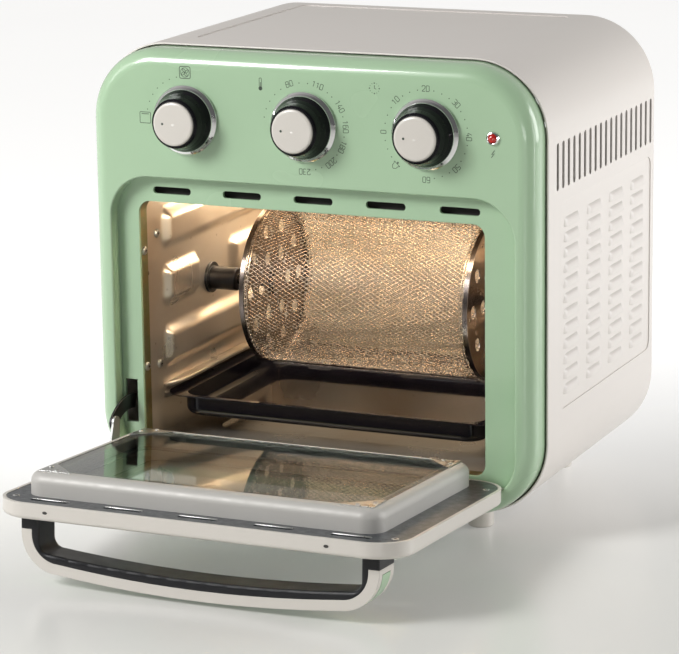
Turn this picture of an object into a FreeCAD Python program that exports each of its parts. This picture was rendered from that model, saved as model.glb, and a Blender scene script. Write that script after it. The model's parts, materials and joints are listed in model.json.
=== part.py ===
"""Countertop air fryer oven with a rotating basket, modelled as separate parts.

Millimetres. X runs to the right as seen from the front, Y runs from front to back, Z is up
and Z = 0 is the surface the feet stand on. While a part is being made, Y = 0 is the front
face of the control panel. Finished parts are moved forward by ORIGIN_DEPTH, so that the
origin lies under the middle of the whole oven with its door hanging open.
"""
import FreeCAD, Part
import math
import os
from FreeCAD import Vector

# ---- driving dimensions -------------------------------------------------------------------
ORIGIN_DEPTH = 31.0            # distance of the origin behind the front face

# outer body
CASING_HALF_W = 175.0
CASING_BOTTOM = 20.0
CASING_TOP = 349.0
CASING_CORNER_R = 55.0
CASING_FRONT = 21.7
CASING_REAR = 257.0
SHEET = 1.2                    # outer sheet metal
EMBOSS = 0.7                   # depth of the pressed panels in the outer sheet
VENT_COUNT = 19                # upright vent slots in each side
VENT_FIRST_Y = 40.9
VENT_LAST_Y = 248.5
VENT_W = 4.6
VENT_Z0 = 254.8
VENT_Z1 = 288.8
REAR_FACE = 260.0

# moulded front frame
FRAME_HALF_W = 172.5
FRAME_BOTTOM = 22.0
FRAME_TOP = 347.0
FRAME_CORNER_R = 53.0
FRAME_DEPTH = 24.0
FRAME_WALL = 3.0
FRAME_ROUND = 12.0             # rounding of the outer front edge
RECESS_HALF_W = 157.5          # shallow pocket that takes the door
RECESS_BOTTOM = 36.0
RECESS_TOP = 253.2
RECESS_R = 31.0
RECESS_DEPTH = 11.4
RECESS_WALL = 2.6
RECESS_RIM = 1.5               # rounding of the pocket's front edge
AIR_SLOT_PITCH = 56.4
AIR_SLOT_Z = 241.7
AIR_SLOT_W = 30.5
AIR_SLOT_H = 5.3
AIR_SLOT_COUNT = 5

# cooking cavity, inside faces
CAVITY_X0 = -141.0
CAVITY_X1 = 132.0
CAVITY_FRONT = 24.0
CAVITY_REAR = 236.0
CAVITY_FLOOR = 49.0
CAVITY_ROOF = 234.0
LINER = 0.8                    # cavity sheet metal
MOUTH_X0 = -140.4
MOUTH_X1 = 131.5
MOUTH_Z0 = 49.8
MOUTH_Z1 = 233.0
MOUTH_R = 9.0
RAIL_LIFT = 6.0                # how far the pressed rack rails stand into the cavity
RAIL_FRONT = 46.0              # front end of the rails and ledges
TRAY_LIP_Z = 79.2              # underside of the tray's lip, resting on the lowest rail

# hot-air unit above the cavity
FAN_X = -4.5
FAN_Y = 128.0
FAN_R = 46.0                   # turns inside the heating element's inner ring
DUCT_R = 95.0
DUCT_TOP = 276.0
GUARD_R = 90.0                 # reach of the fan guard's stays
FAN_SHAFT_R = 2.5

# rotating basket
BASKET_Y = 130.0
BASKET_Z = 151.0
BASKET_X0 = -88.5
BASKET_X1 = 95.0
BASKET_R = 60.0
BASKET_RIM = 3.5               # length of the rim band at each end
SPINDLE_R = 4.0
DRIVE_SQUARE = 7.6             # square end of the drive spindle
SOCKET_SQUARE = 8.4

# controls
KNOB_X = (-94.2, -1.0, 92.2)
KNOB_Z = 297.0
KNOB_R = 25.3
KNOB_GAP = 0.6                 # gap between knob and panel
KNOB_FRONT = 21.9              # how far the cap stands in front of the panel
CAP_R = 15.8
KNOB_SHAFT_R = 3.0
LAMP_X = 142.1

# door, described open and level: S runs from the hinge to the free end, N is up
HINGE_Y = 5.6
HINGE_Z = 43.5
DOOR_TILT = 3.7                # degrees that the free end stands above level when open
DOOR_HALF_W = 153.5
DOOR_S0 = -2.2
DOOR_S1 = 206.5
DOOR_R = 28.0
DOOR_N0 = -6.5                 # outside face of the door
DOOR_N1 = 5.0                  # inside rim of the door frame
PLATE_TOP = 4.8
PLATE_HALF_W = 150.7
PLATE_S1 = 203.5
PAN_X0 = -137.7                # the pan enters the cavity mouth, which is off centre
PAN_X1 = 128.7
PAN_S0 = 8.5
PAN_S1 = 184.0
PAN_TOP = 21.0
PAN_ROUND = 7.0                # rounding of the pan's raised edge
GLASS_X0 = -129.5
GLASS_X1 = 120.6
GLASS_S0 = 16.8
GLASS_S1 = 172.0
HINGE_PIN_R = 1.5
HANDLE_S0 = 169.0
HANDLE_S1 = 194.0
LINK_S = 27.0                  # rivet of the hinge link, in door coordinates
LINK_N = 26.0
LINK_R = math.hypot(LINK_S, LINK_N)
LINK_HALF_H = 5.5

# feet
FOOT_X = 111.0
FOOT_Y = (55.4, 225.0)
FOOT_R = 9.5

# cord inlet
GLAND_X = 110.0
GLAND_Z = 70.0
GLAND_R = 7.8

RUNNING_CLEARANCE = 0.08       # radial clearance of a shaft that turns in a bore


# ---- general helpers ----------------------------------------------------------------------
def box(x0, x1, y0, y1, z0, z1):
    return Part.makeBox(x1 - x0, y1 - y0, z1 - z0, Vector(x0, y0, z0))


def rod(radius, start, end):
    start = Vector(*start)
    axis = Vector(*end) - start
    return Part.makeCylinder(radius, axis.Length, start, axis)


def tube(outer_r, inner_r, start, end):
    return rod(outer_r, start, end).cut(rod(inner_r, start, end))


def rounded_face(u0, u1, v0, v1, r, place):
    """Rectangle with rounded corners; place(u, v) turns its two coordinates into a point."""
    bend = r * (1.0 - math.sqrt(0.5))
    edges = []
    corners = [(u1, v0, -1, 1), (u1, v1, -1, -1), (u0, v1, 1, -1), (u0, v0, 1, 1)]
    previous = place(u0 + r, v0)
    for u, v, to_middle_u, to_middle_v in corners:
        along_u = place(u + to_middle_u * r, v)
        along_v = place(u, v + to_middle_v * r)
        middle = place(u + to_middle_u * bend, v + to_middle_v * bend)
        first, last = (along_u, along_v) if to_middle_u == -to_middle_v else (along_v, along_u)
        if previous.distanceToPoint(first) > 1e-6:
            edges.append(Part.LineSegment(previous, first).toShape())
        edges.append(Part.Arc(first, middle, last).toShape())
        previous = last
    start = place(u0 + r, v0)
    if previous.distanceToPoint(start) > 1e-6:
        edges.append(Part.LineSegment(previous, start).toShape())
    return Part.Face(Part.Wire(edges))


def upright_prism(x0, x1, z0, z1, r, y0, y1):
    """Rounded rectangle seen from the front, running from y0 to y1."""
    face = rounded_face(x0, x1, z0, z1, r, lambda u, v: Vector(u, y0, v))
    return face.extrude(Vector(0, y1 - y0, 0))


def flat_prism(x0, x1, y0, y1, r, z0, z1):
    """Rounded rectangle seen from above, running from z0 to z1."""
    face = rounded_face(x0, x1, y0, y1, r, lambda u, v: Vector(u, v, z0))
    return face.extrude(Vector(0, 0, z1 - z0))


def side_prism(x0, x1, y0, y1, z0, z1, r):
    """Rounded rectangle seen from the side, running from x0 to x1."""
    face = rounded_face(y0, y1, z0, z1, r, lambda u, v: Vector(x0, u, v))
    return face.extrude(Vector(x1 - x0, 0, 0))


def turned(profile, centre, axis):
    """Solid of revolution; profile is a list of (radius, height) along the axis."""
    points = [Vector(radius, 0, height) for radius, height in profile]
    face = Part.Face(Part.makePolygon(points + points[:1]))
    solid = face.revolve(Vector(0, 0, 0), Vector(0, 0, 1), 360)
    turn = FreeCAD.Rotation(Vector(0, 0, 1), Vector(*axis))
    solid.Placement = FreeCAD.Placement(Vector(*centre), turn)
    return solid


def edges_at(shape, axis, value):
    """Edges that lie wholly in the plane where the given axis has this value."""
    found = []
    for edge in shape.Edges:
        bounds = edge.BoundBox
        low = getattr(bounds, axis + "Min")
        high = getattr(bounds, axis + "Max")
        if abs(low - value) < 1e-4 and abs(high - value) < 1e-4:
            found.append(edge)
    return found


def rounded_at(shape, radius, axis, value):
    return shape.makeFillet(radius, edges_at(shape, axis, value))


def ring_of(count, radius, centre_u, centre_v, start_angle=0.0):
    """Points evenly spaced on a circle, as (u, v) pairs."""
    points = []
    for index in range(count):
        angle = math.radians(start_angle + 360.0 * index / count)
        points.append((centre_u + radius * math.cos(angle), centre_v + radius * math.sin(angle)))
    return points


def save(name, shape):
    moved = shape.copy()
    moved.translate(Vector(0, -ORIGIN_DEPTH, 0))
    moved.exportStep("parts/" + name + ".step")


def save_group(name, solids):
    save(name, Part.makeCompound(solids))


# ---- outer body ---------------------------------------------------------------------------
def air_slot(x, y0, y1):
    return upright_prism(x - AIR_SLOT_W / 2, x + AIR_SLOT_W / 2, AIR_SLOT_Z - AIR_SLOT_H / 2,
                         AIR_SLOT_Z + AIR_SLOT_H / 2, AIR_SLOT_H * 0.48, y0, y1)


def air_slot_positions():
    return [(index - (AIR_SLOT_COUNT - 1) / 2) * AIR_SLOT_PITCH for index in range(AIR_SLOT_COUNT)]


def frame_shell():
    """Front frame without its pocket: a hollow lid with a generously rounded front edge."""
    outer = upright_prism(-FRAME_HALF_W, FRAME_HALF_W, FRAME_BOTTOM, FRAME_TOP,
                          FRAME_CORNER_R, 0, FRAME_DEPTH)
    outer = rounded_at(outer, FRAME_ROUND, "Y", 0)
    wall = FRAME_WALL
    inner = upright_prism(-FRAME_HALF_W + wall, FRAME_HALF_W - wall, FRAME_BOTTOM + wall,
                          FRAME_TOP - wall, FRAME_CORNER_R - wall, wall, FRAME_DEPTH + 1)
    inner = rounded_at(inner, FRAME_ROUND - 2, "Y", wall)
    return outer.cut(inner)


def front_frame():
    wall = RECESS_WALL
    housing = upright_prism(-RECESS_HALF_W - wall, RECESS_HALF_W + wall, RECESS_BOTTOM - wall,
                            RECESS_TOP + wall, RECESS_R + wall, 1.5, RECESS_DEPTH + wall)
    pocket = upright_prism(-RECESS_HALF_W, RECESS_HALF_W, RECESS_BOTTOM, RECESS_TOP,
                           RECESS_R, -1, RECESS_DEPTH)
    frame = frame_shell().fuse(housing).cut(pocket).removeSplitter()
    rim = [edge for edge in edges_at(frame, "Y", 0)
           if abs(edge.BoundBox.XMin) <= RECESS_HALF_W + 0.01
           and abs(edge.BoundBox.XMax) <= RECESS_HALF_W + 0.01
           and edge.BoundBox.ZMax <= RECESS_TOP + 0.01
           and edge.BoundBox.ZMin >= RECESS_BOTTOM - 0.01]
    frame = frame.makeFillet(RECESS_RIM, rim)
    behind = RECESS_DEPTH + wall + 1
    cutters = [upright_prism(MOUTH_X0, MOUTH_X1, MOUTH_Z0, MOUTH_Z1, MOUTH_R, 5, behind)]
    cutters += [air_slot(x, 5, behind) for x in air_slot_positions()]
    cutters.append(box(-155.5, -145.5, 5, behind, 64, 97))
    cutters += [rod(KNOB_SHAFT_R + 1.2, (x, -1, KNOB_Z), (x, 5, KNOB_Z)) for x in KNOB_X]
    cutters.append(rod(4.2, (LAMP_X, -1, KNOB_Z), (LAMP_X, 5, KNOB_Z)))
    bore = HINGE_PIN_R + RUNNING_CLEARANCE
    cutters += [rod(bore, (side * 140, HINGE_Y, HINGE_Z), (side * 155, HINGE_Y, HINGE_Z))
                for side in (-1, 1)]
    return frame.cut(cutters)


def vent_slots(side):
    slots = []
    pitch = (VENT_LAST_Y - VENT_FIRST_Y) / (VENT_COUNT - 1)
    for index in range(VENT_COUNT):
        y = VENT_FIRST_Y + index * pitch
        x_inside = side * (CASING_HALF_W - 4)
        x_outside = side * (CASING_HALF_W + 2)
        slots.append(side_prism(x_inside, x_outside, y - VENT_W / 2, y + VENT_W / 2,
                                VENT_Z0, VENT_Z1, VENT_W * 0.48))
    return slots


def outer_casing():
    outer = upright_prism(-CASING_HALF_W, CASING_HALF_W, CASING_BOTTOM, CASING_TOP,
                          CASING_CORNER_R, CASING_FRONT, CASING_REAR)
    outer = rounded_at(outer, 0.8, "Y", CASING_FRONT)
    half_inside = CASING_HALF_W - SHEET
    inner = upright_prism(-half_inside, half_inside, CASING_BOTTOM + SHEET, CASING_TOP - SHEET,
                          CASING_CORNER_R - SHEET, CASING_FRONT - 1, CASING_REAR + 1)
    backing = []
    pressed = []
    for side in (-1, 1):
        face = side * CASING_HALF_W
        inside = side * half_inside
        pressed.append(side_prism(face - side * EMBOSS, face + side, 47, 250, 94, 244.7, 8))
        backing.append(side_prism(inside - side * EMBOSS, inside + side * 0.2,
                                  46, 251, 93, 245.7, 9))
    pressed.append(flat_prism(-111.6, 111.6, 52.2, 245.3, 6, CASING_TOP - EMBOSS, CASING_TOP + 1))
    backing.append(flat_prism(-112.6, 112.6, 51.2, 246.3, 7, CASING_TOP - SHEET - EMBOSS,
                              CASING_TOP - SHEET + 0.2))
    shell = outer.cut(inner).fuse(backing).cut(pressed)
    cutters = vent_slots(-1) + vent_slots(1)
    cutters.append(box(-98, 98, CASING_FRONT - 1, CASING_REAR + 1, 10, CASING_BOTTOM + 3))
    cutters += foot_stud_holes()
    return shell.cut(cutters)


def rear_screw_positions():
    return [(-150, 300), (0, 338), (150, 300), (-165, 185), (165, 185), (-150, 60), (0, 32),
            (150, 60)]


def rear_cover():
    outer = upright_prism(-173.5, 173.5, 21.5, 347.5, 53.5, 256, REAR_FACE)
    outer = rounded_at(outer, 3, "Y", REAR_FACE)
    inner = upright_prism(-172.3, 172.3, 22.7, 346.3, 52.3, 255, REAR_FACE - SHEET)
    cutters = []
    for row in range(3):
        for column in range(9):
            x = (column - 4) * 26.0
            z = 262.0 + row * 18.0
            cutters.append(upright_prism(x - 10, x + 10, z - 2.2, z + 2.2, 2.1, 255, 262))
    cutters.append(rod(GLAND_R + 0.1, (GLAND_X, 255, GLAND_Z), (GLAND_X, 262, GLAND_Z)))
    cutters += [rod(1.9, (x, 255, z), (x, 262, z)) for x, z in rear_screw_positions()]
    return outer.cut(inner).cut(cutters)


def foot_stud_holes():
    return [rod(3.8, (side * FOOT_X, y, 10), (side * FOOT_X, y, 30))
            for side in (-1, 1) for y in FOOT_Y]


def base_plate():
    plate = box(-124, 124, 25, 255, CASING_BOTTOM + SHEET + 0.2, CASING_BOTTOM + 2 * SHEET + 0.2)
    cutters = foot_stud_holes()
    for row in range(2):
        for column in range(9):
            x = (column - 4) * 22.0
            y = 105.0 + row * 80.0
            cutters.append(flat_prism(x - 3, x + 3, y - 28, y + 28, 2.9, 15, 30))
    return plate.cut(cutters)


def foot(x, y):
    pad = rod(FOOT_R, (x, y, 0), (x, y, CASING_BOTTOM))
    pad = rounded_at(pad, 1.5, "Z", 0)
    return pad.fuse(rod(3.5, (x, y, CASING_BOTTOM - 1), (x, y, 27)))


def cord_gland():
    flange = rod(GLAND_R + 3, (GLAND_X, REAR_FACE, GLAND_Z), (GLAND_X, REAR_FACE + 3, GLAND_Z))
    flange = rounded_at(flange, 1.5, "Y", REAR_FACE + 3)
    barrel = rod(GLAND_R, (GLAND_X, 250, GLAND_Z), (GLAND_X, REAR_FACE + 1, GLAND_Z))
    bore = rod(4, (GLAND_X, 245, GLAND_Z), (GLAND_X, 270, GLAND_Z))
    return flange.fuse(barrel).cut(bore)


def pan_head_screw(head_r, shank_r, seat, direction):
    """Screw whose head sits on the point seat and whose shank points against direction."""
    profile = [(0, -8), (shank_r, -8), (shank_r, 0), (head_r, 0), (head_r, 0.9),
               (head_r * 0.75, 1.7), (0, 2.0)]
    return turned(profile, seat, direction)


def cavity_screw_positions():
    """Screws through the flange sides and the cavity side walls, as (y, z)."""
    return [(17.6, 194), (17.6, 106)], [(39.3, 203), (39.3, 103)]


def body_screws():
    screws = [pan_head_screw(3.2, 1.6, (x, REAR_FACE, z), (0, 1, 0))
              for x, z in rear_screw_positions()]
    on_flange, on_wall = cavity_screw_positions()
    for places, left_x, right_x in ((on_flange, MOUTH_X0, MOUTH_X1),
                                    (on_wall, CAVITY_X0, CAVITY_X1)):
        for y, z in places:
            screws.append(pan_head_screw(3.3, 1.6, (left_x, y, z), (1, 0, 0)))
            screws.append(pan_head_screw(3.3, 1.6, (right_x, y, z), (-1, 0, 0)))
    return screws


# ---- cooking cavity -----------------------------------------------------------------------
def screw_holes(places):
    return [rod(1.9, (-160, y, z), (160, y, z)) for y, z in places]


def cavity_front_flange():
    def ring(grow, y0, y1):
        return upright_prism(MOUTH_X0 - grow, MOUTH_X1 + grow, MOUTH_Z0 - grow, MOUTH_Z1 + grow,
                             MOUTH_R + grow, y0, y1)
    start = RECESS_DEPTH + RECESS_WALL
    solid = ring(1.0, start, CAVITY_FRONT - 0.2).fuse(ring(4.0, start, start + 1))
    on_flange, _ = cavity_screw_positions()
    return solid.cut([ring(0, start - 1, CAVITY_FRONT + 1)] + screw_holes(on_flange))


def pressed_pad(wall_x, inward, lift, y0, y1, z0, z1, draft):
    """Rail pressed into a side wall: a block with slanting sides, hollow on the outside."""
    def block(base_x, height, shrink):
        low = rounded_face(y0 + shrink, y1 - shrink, z0 + shrink, z1 - shrink, 3,
                           lambda u, v: Vector(base_x, u, v))
        inset = draft + shrink
        high = rounded_face(y0 + inset, y1 - inset, z0 + inset, z1 - inset, 2,
                            lambda u, v: Vector(base_x + inward * height, u, v))
        return Part.makeLoft([low.OuterWire, high.OuterWire], True, True)
    solid = block(wall_x, lift, 0)
    hollow = block(wall_x - inward * LINER, lift, LINER)
    return solid, hollow


def wall_rails():
    """Rack rails as (y0, y1, z0, z1, lift, draft); the middle one leaves room for the spit."""
    rear = CAVITY_REAR - 8
    return [(RAIL_FRONT, rear, 188, 221, RAIL_LIFT, 6), (RAIL_FRONT, 108, 144, 178, RAIL_LIFT, 6),
            (160, rear, 144, 178, RAIL_LIFT, 6), (RAIL_FRONT, rear, 97, 131, RAIL_LIFT, 6)]


def cavity_side_wall(side):
    """side is -1 for the left wall and 1 for the right wall."""
    face = CAVITY_X0 if side < 0 else CAVITY_X1
    inward = -side
    x0, x1 = sorted((face, face + side * LINER))
    wall = box(x0, x1, CAVITY_FRONT, CAVITY_REAR + LINER, CAVITY_FLOOR - LINER,
               CAVITY_ROOF + LINER)
    for y0, y1, z0, z1, lift, draft in wall_rails():
        solid, hollow = pressed_pad(face, inward, lift, y0, y1, z0, z1, draft)
        wall = wall.fuse(solid).cut(hollow)
    shelf_x0, shelf_x1 = sorted((face - inward * 0.4, face + inward * 8))
    ledges = [box(shelf_x0, shelf_x1, RAIL_FRONT, CAVITY_REAR - 2, z0, z1)
              for z0, z1 in ((TRAY_LIP_Z - 4, TRAY_LIP_Z), (TRAY_LIP_Z + 4, TRAY_LIP_Z + 7))]
    _, on_wall = cavity_screw_positions()
    cutters = screw_holes(on_wall)
    if side > 0:
        cutters.append(rod(6, (125, BASKET_Y, BASKET_Z), (140, BASKET_Y, BASKET_Z)))
    return wall.fuse(ledges).cut(cutters)


def cavity_back_wall():
    wall = box(CAVITY_X0, CAVITY_X1, CAVITY_REAR, CAVITY_REAR + LINER, CAVITY_FLOOR, CAVITY_ROOF)
    holes = []
    for ring_r, count in ((0, 1), (12, 6), (24, 12)):
        holes += [rod(2.5, (x, 230, z), (x, 240, z))
                  for x, z in ring_of(count, ring_r, FAN_X, 195)]
    return wall.cut(holes)


def cavity_roof():
    sheet = box(CAVITY_X0, CAVITY_X1, CAVITY_FRONT, CAVITY_REAR, CAVITY_ROOF, CAVITY_ROOF + LINER)
    return sheet.cut(rod(DUCT_R - 7, (FAN_X, FAN_Y, 200), (FAN_X, FAN_Y, 250)))


def cavity_floor():
    sheet = box(CAVITY_X0, CAVITY_X1, CAVITY_FRONT, CAVITY_REAR, CAVITY_FLOOR - LINER,
                CAVITY_FLOOR)
    dish = flat_prism(-110, 101, 70, 210, 12, CAVITY_FLOOR - 3, CAVITY_FLOOR)
    hollow = flat_prism(-109.2, 100.2, 70.8, 209.2, 11, CAVITY_FLOOR - 3 + LINER,
                        CAVITY_FLOOR + 1)
    return sheet.fuse(dish).cut(hollow)


def baking_tray():
    lip = flat_prism(-139.5, 130.5, 38, 228, 18, TRAY_LIP_Z, TRAY_LIP_Z + 1)
    body = flat_prism(-126, 117, 41, 221, 16, TRAY_LIP_Z - 15, TRAY_LIP_Z + 1)
    body = rounded_at(body, 6, "Z", TRAY_LIP_Z - 15)
    hollow = flat_prism(-125, 116, 42, 220, 15, TRAY_LIP_Z - 14, TRAY_LIP_Z + 2)
    hollow = rounded_at(hollow, 5, "Z", TRAY_LIP_Z - 14)
    return lip.fuse(body).cut(hollow)


# ---- hot-air unit -------------------------------------------------------------------------
def heating_element():
    """Sheathed element: two open rings joined at one end, with two upright terminals."""
    tube_r = 3.2
    z = 246.0
    gap = 24.0
    pieces = []
    for ring_r in (52.0, 72.0):
        ring = Part.makeTorus(ring_r, tube_r, Vector(0, 0, 0), Vector(0, 0, 1), 0, 360,
                              360 - gap)
        ring.rotate(Vector(0, 0, 0), Vector(0, 0, 1), 90 + gap / 2)
        ring.translate(Vector(FAN_X, FAN_Y, z))
        pieces.append(ring)
    bend_angle = math.radians(90 + gap / 2)
    bend = [(FAN_X + ring_r * math.cos(bend_angle), FAN_Y + ring_r * math.sin(bend_angle), z)
            for ring_r in (52.0, 72.0)]
    pieces.append(rod(tube_r, bend[0], bend[1]))
    pieces += [Part.makeSphere(tube_r, Vector(*point)) for point in bend]
    end_angle = math.radians(90 - gap / 2)
    for ring_r in (52.0, 72.0):
        x = FAN_X + ring_r * math.cos(end_angle)
        y = FAN_Y + ring_r * math.sin(end_angle)
        pieces.append(Part.makeSphere(tube_r, Vector(x, y, z)))
        pieces.append(rod(tube_r, (x, y, z), (x, y, DUCT_TOP + 14)))
    return pieces[0].fuse(pieces[1:])


def terminal_places():
    end_angle = math.radians(90 - 12)
    return [(FAN_X + ring_r * math.cos(end_angle), FAN_Y + ring_r * math.sin(end_angle))
            for ring_r in (52.0, 72.0)]


def fan_guard():
    """Wire guard: a hub plate, wire rings and eight radial stays that hang from the roof."""
    z = CAVITY_ROOF - 4
    hub = rod(15, (FAN_X, FAN_Y, z - 1), (FAN_X, FAN_Y, z + 1))
    rings = [Part.makeTorus(ring_r, 1.2, Vector(FAN_X, FAN_Y, z)) for ring_r in (30, 44, 58, 71)]
    rings.append(Part.makeTorus(84, 1.8, Vector(FAN_X, FAN_Y, z)))
    inner_ends = ring_of(8, 10, FAN_X, FAN_Y, 22.5)
    outer_ends = ring_of(8, GUARD_R, FAN_X, FAN_Y, 22.5)
    stays = [rod(1.6, (x0, y0, z), (x1, y1, z))
             for (x0, y0), (x1, y1) in zip(inner_ends, outer_ends)]
    feet = [rod(2.4, (x, y, z - 2), (x, y, CAVITY_ROOF)) for x, y in outer_ends]
    return hub.fuse(stays + rings + feet)


def fan_housing():
    floor_z = CAVITY_ROOF + LINER
    outer = rod(DUCT_R, (FAN_X, FAN_Y, floor_z), (FAN_X, FAN_Y, DUCT_TOP))
    outer = rounded_at(outer, 6, "Z", DUCT_TOP)
    inner = rod(DUCT_R - 1, (FAN_X, FAN_Y, floor_z - 1), (FAN_X, FAN_Y, DUCT_TOP - 1))
    inner = rounded_at(inner, 5, "Z", DUCT_TOP - 1)
    cutters = [inner, rod(6, (FAN_X, FAN_Y, 250), (FAN_X, FAN_Y, 290))]
    cutters += [rod(4.5, (x, y, 250), (x, y, 290)) for x, y in terminal_places()]
    return outer.cut(cutters)


def bladed_disc(z_disc, z_blade_end, radius, hub_r, count, bore_r):
    """Disc with a hub and flat radial blades standing on one side."""
    z_low = min(z_disc, z_blade_end)
    z_high = max(z_disc + 1, z_blade_end)
    pieces = [rod(radius, (0, 0, z_disc), (0, 0, z_disc + 1)),
              rod(hub_r, (0, 0, z_low), (0, 0, z_high))]
    for index in range(count):
        blade = box(hub_r - 1, radius - 2, -0.6, 0.6, z_low, z_high)
        blade.rotate(Vector(hub_r, 0, 0), Vector(0, 0, 1), 18)
        blade.rotate(Vector(0, 0, 0), Vector(0, 0, 1), 360.0 * index / count)
        pieces.append(blade)
    solid = pieces[0].fuse(pieces[1:])
    solid = solid.cut(rod(bore_r, (0, 0, z_low - 1), (0, 0, z_high + 1)))
    solid.translate(Vector(FAN_X, FAN_Y, 0))
    return solid


def fan_motor():
    core = box(-30, 30, -27, 27, 298, 322)
    coil = tube(20, 8, (0, 0, 322), (0, 0, 334))
    legs = [rod(2.5, (x, y, DUCT_TOP), (x, y, 300)) for x, y in ring_of(4, 47, 0, 0, 45)]
    plate = box(-38, 38, -38, 38, 296, 298)
    bore = rod(FAN_SHAFT_R + RUNNING_CLEARANCE, (0, 0, 280), (0, 0, 340))
    motor = plate.fuse([core, coil] + legs).cut(bore)
    motor.translate(Vector(FAN_X, FAN_Y, 0))
    return motor


# ---- rotating basket and its drive --------------------------------------------------------
def on_spit(x):
    return (x, BASKET_Y, BASKET_Z)


def basket_mesh():
    return tube(BASKET_R - 0.7, BASKET_R - 1.5, on_spit(BASKET_X0 + 2.5), on_spit(BASKET_X1 - 2.5))


def basket_end(side):
    """Steel end cap: rim band, dished disc with air holes and the spindle."""
    rim_x = BASKET_X0 if side < 0 else BASKET_X1
    inward = -side
    rim = tube(BASKET_R + 0.4, BASKET_R - 0.6, on_spit(rim_x),
               on_spit(rim_x + inward * BASKET_RIM))
    disc = rod(BASKET_R - 0.2, on_spit(rim_x + inward * 1.2), on_spit(rim_x + inward * 2.2))
    holes = []
    for count, ring_r, hole_r in ((6, 24, 5), (10, 44, 5)):
        for y, z in ring_of(count, ring_r, BASKET_Y, BASKET_Z):
            holes.append(rod(hole_r, (rim_x - 5, y, z), (rim_x + 5, y, z)))
    hub = rod(10, on_spit(rim_x - inward * 1.5), on_spit(rim_x + inward * 5))
    return rim.fuse(disc.cut(holes)).fuse(hub)


def basket_left_end():
    return basket_end(-1).fuse(rod(SPINDLE_R, on_spit(BASKET_X0), on_spit(-135.5)))


def basket_right_end():
    half = DRIVE_SQUARE / 2
    square = box(BASKET_X1 - 1, 121, BASKET_Y - half, BASKET_Y + half, BASKET_Z - half,
                 BASKET_Z + half)
    return basket_end(1).fuse(square)


def basket_latch():
    """Bar along the basket that holds its hatch closed, with two sliding catches."""
    inner_r = BASKET_R + 0.6
    bar = box(BASKET_X0 + 9, BASKET_X1 - 9, -5, 5, -inner_r - 1.4, -inner_r)
    catches = [box(x - 9, x + 9, -3, 3, -inner_r - 3, -inner_r - 1.2) for x in (-42, 34)]
    solid = bar.fuse(catches)
    solid.rotate(Vector(0, 0, 0), Vector(1, 0, 0), -14)
    solid.translate(Vector(0, BASKET_Y, BASKET_Z))
    return solid


def spit_bearing():
    flange = rod(12, on_spit(CAVITY_X0), on_spit(CAVITY_X0 + 2))
    cup = rod(9, on_spit(CAVITY_X0 + 1), on_spit(-117))
    cup = rounded_at(cup, 1.5, "X", -117)
    bore = rod(SPINDLE_R + RUNNING_CLEARANCE, on_spit(-137), on_spit(-110))
    return flange.fuse(cup).cut(bore)


def drive_socket():
    cup = rod(10, on_spit(109), on_spit(126))
    cup = rounded_at(cup, 1.2, "X", 109)
    half = SOCKET_SQUARE / 2
    square = box(105, 122, BASKET_Y - half, BASKET_Y + half, BASKET_Z - half, BASKET_Z + half)
    shaft = rod(SPINDLE_R, on_spit(125), on_spit(150))
    return cup.cut(square).fuse(shaft)


def rotisserie_motor():
    gearbox = rod(25, on_spit(138), on_spit(158))
    gearbox = rounded_at(gearbox, 2, "X", 158)
    can = rod(16, (158, BASKET_Y + 6, BASKET_Z), (170, BASKET_Y + 6, BASKET_Z))
    posts = [rod(3, (CAVITY_X1 + LINER, y, z), (139, y, z))
             for y, z in ring_of(3, 20, BASKET_Y, BASKET_Z, 90)]
    bore = rod(SPINDLE_R + RUNNING_CLEARANCE, on_spit(130), on_spit(152))
    return gearbox.fuse([can] + posts).cut(bore)


# ---- controls -----------------------------------------------------------------------------
def control_bracket():
    plate = box(-130, 130, 8, 9.2, 268, 326)
    bosses = [rod(3, (x, FRAME_WALL, z), (x, 8.2, z)) for x in (-124, -47, 46, 124)
              for z in (272, 322)]
    holes = [rod(KNOB_SHAFT_R + 1.2, (x, 0, KNOB_Z), (x, 12, KNOB_Z)) for x in KNOB_X]
    return plate.fuse(bosses).cut(holes)


def shaft_bore(x):
    return rod(KNOB_SHAFT_R + RUNNING_CLEARANCE, (x, 5, KNOB_Z), (x, 24, KNOB_Z))


def selector_switch():
    x = KNOB_X[0]
    body = box(x - 16, x + 16, 9.2, 28, KNOB_Z - 12, KNOB_Z + 12)
    contacts = [box(x + dx - 3, x + dx + 3, 28, 35, KNOB_Z - 0.4, KNOB_Z + 0.4)
                for dx in (-10, 0, 10)]
    return body.fuse(contacts).cut(shaft_bore(x))


def thermostat():
    x = KNOB_X[1]
    body = rod(17, (x, 9.2, KNOB_Z), (x, 26, KNOB_Z))
    diaphragm = rod(9, (x, 26, KNOB_Z), (x, 30, KNOB_Z))
    return body.fuse(diaphragm).cut(shaft_bore(x))


def timer():
    x = KNOB_X[2]
    gear_case = box(x - 22, x + 22, 9.2, 30, KNOB_Z - 22, KNOB_Z + 22)
    bell = rod(20, (x, 30, KNOB_Z), (x, 44, KNOB_Z))
    bell = rounded_at(bell, 5, "Y", 44)
    return gear_case.fuse(bell).cut(shaft_bore(x))


def knob_skirt(x):
    """Flared chrome body of a knob, with a pocket for the cap and a blind hole behind."""
    profile = [(0, KNOB_GAP), (KNOB_R - 0.4, KNOB_GAP), (KNOB_R, 1.2), (KNOB_R, 2.4),
               (24.2, 3.6), (22.8, 4.6), (20.6, 9.0), (19.2, 13.0), (18.4, 17.0), (18.0, 18.6),
               (17.2, 19.6), (16.6, 19.6), (16.4, 18.2), (0, 18.2)]
    skirt = turned(profile, (x, 0, KNOB_Z), (0, -1, 0))
    return skirt.cut(rod(KNOB_SHAFT_R + 0.02, (x, 1, KNOB_Z), (x, -14, KNOB_Z)))


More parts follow.
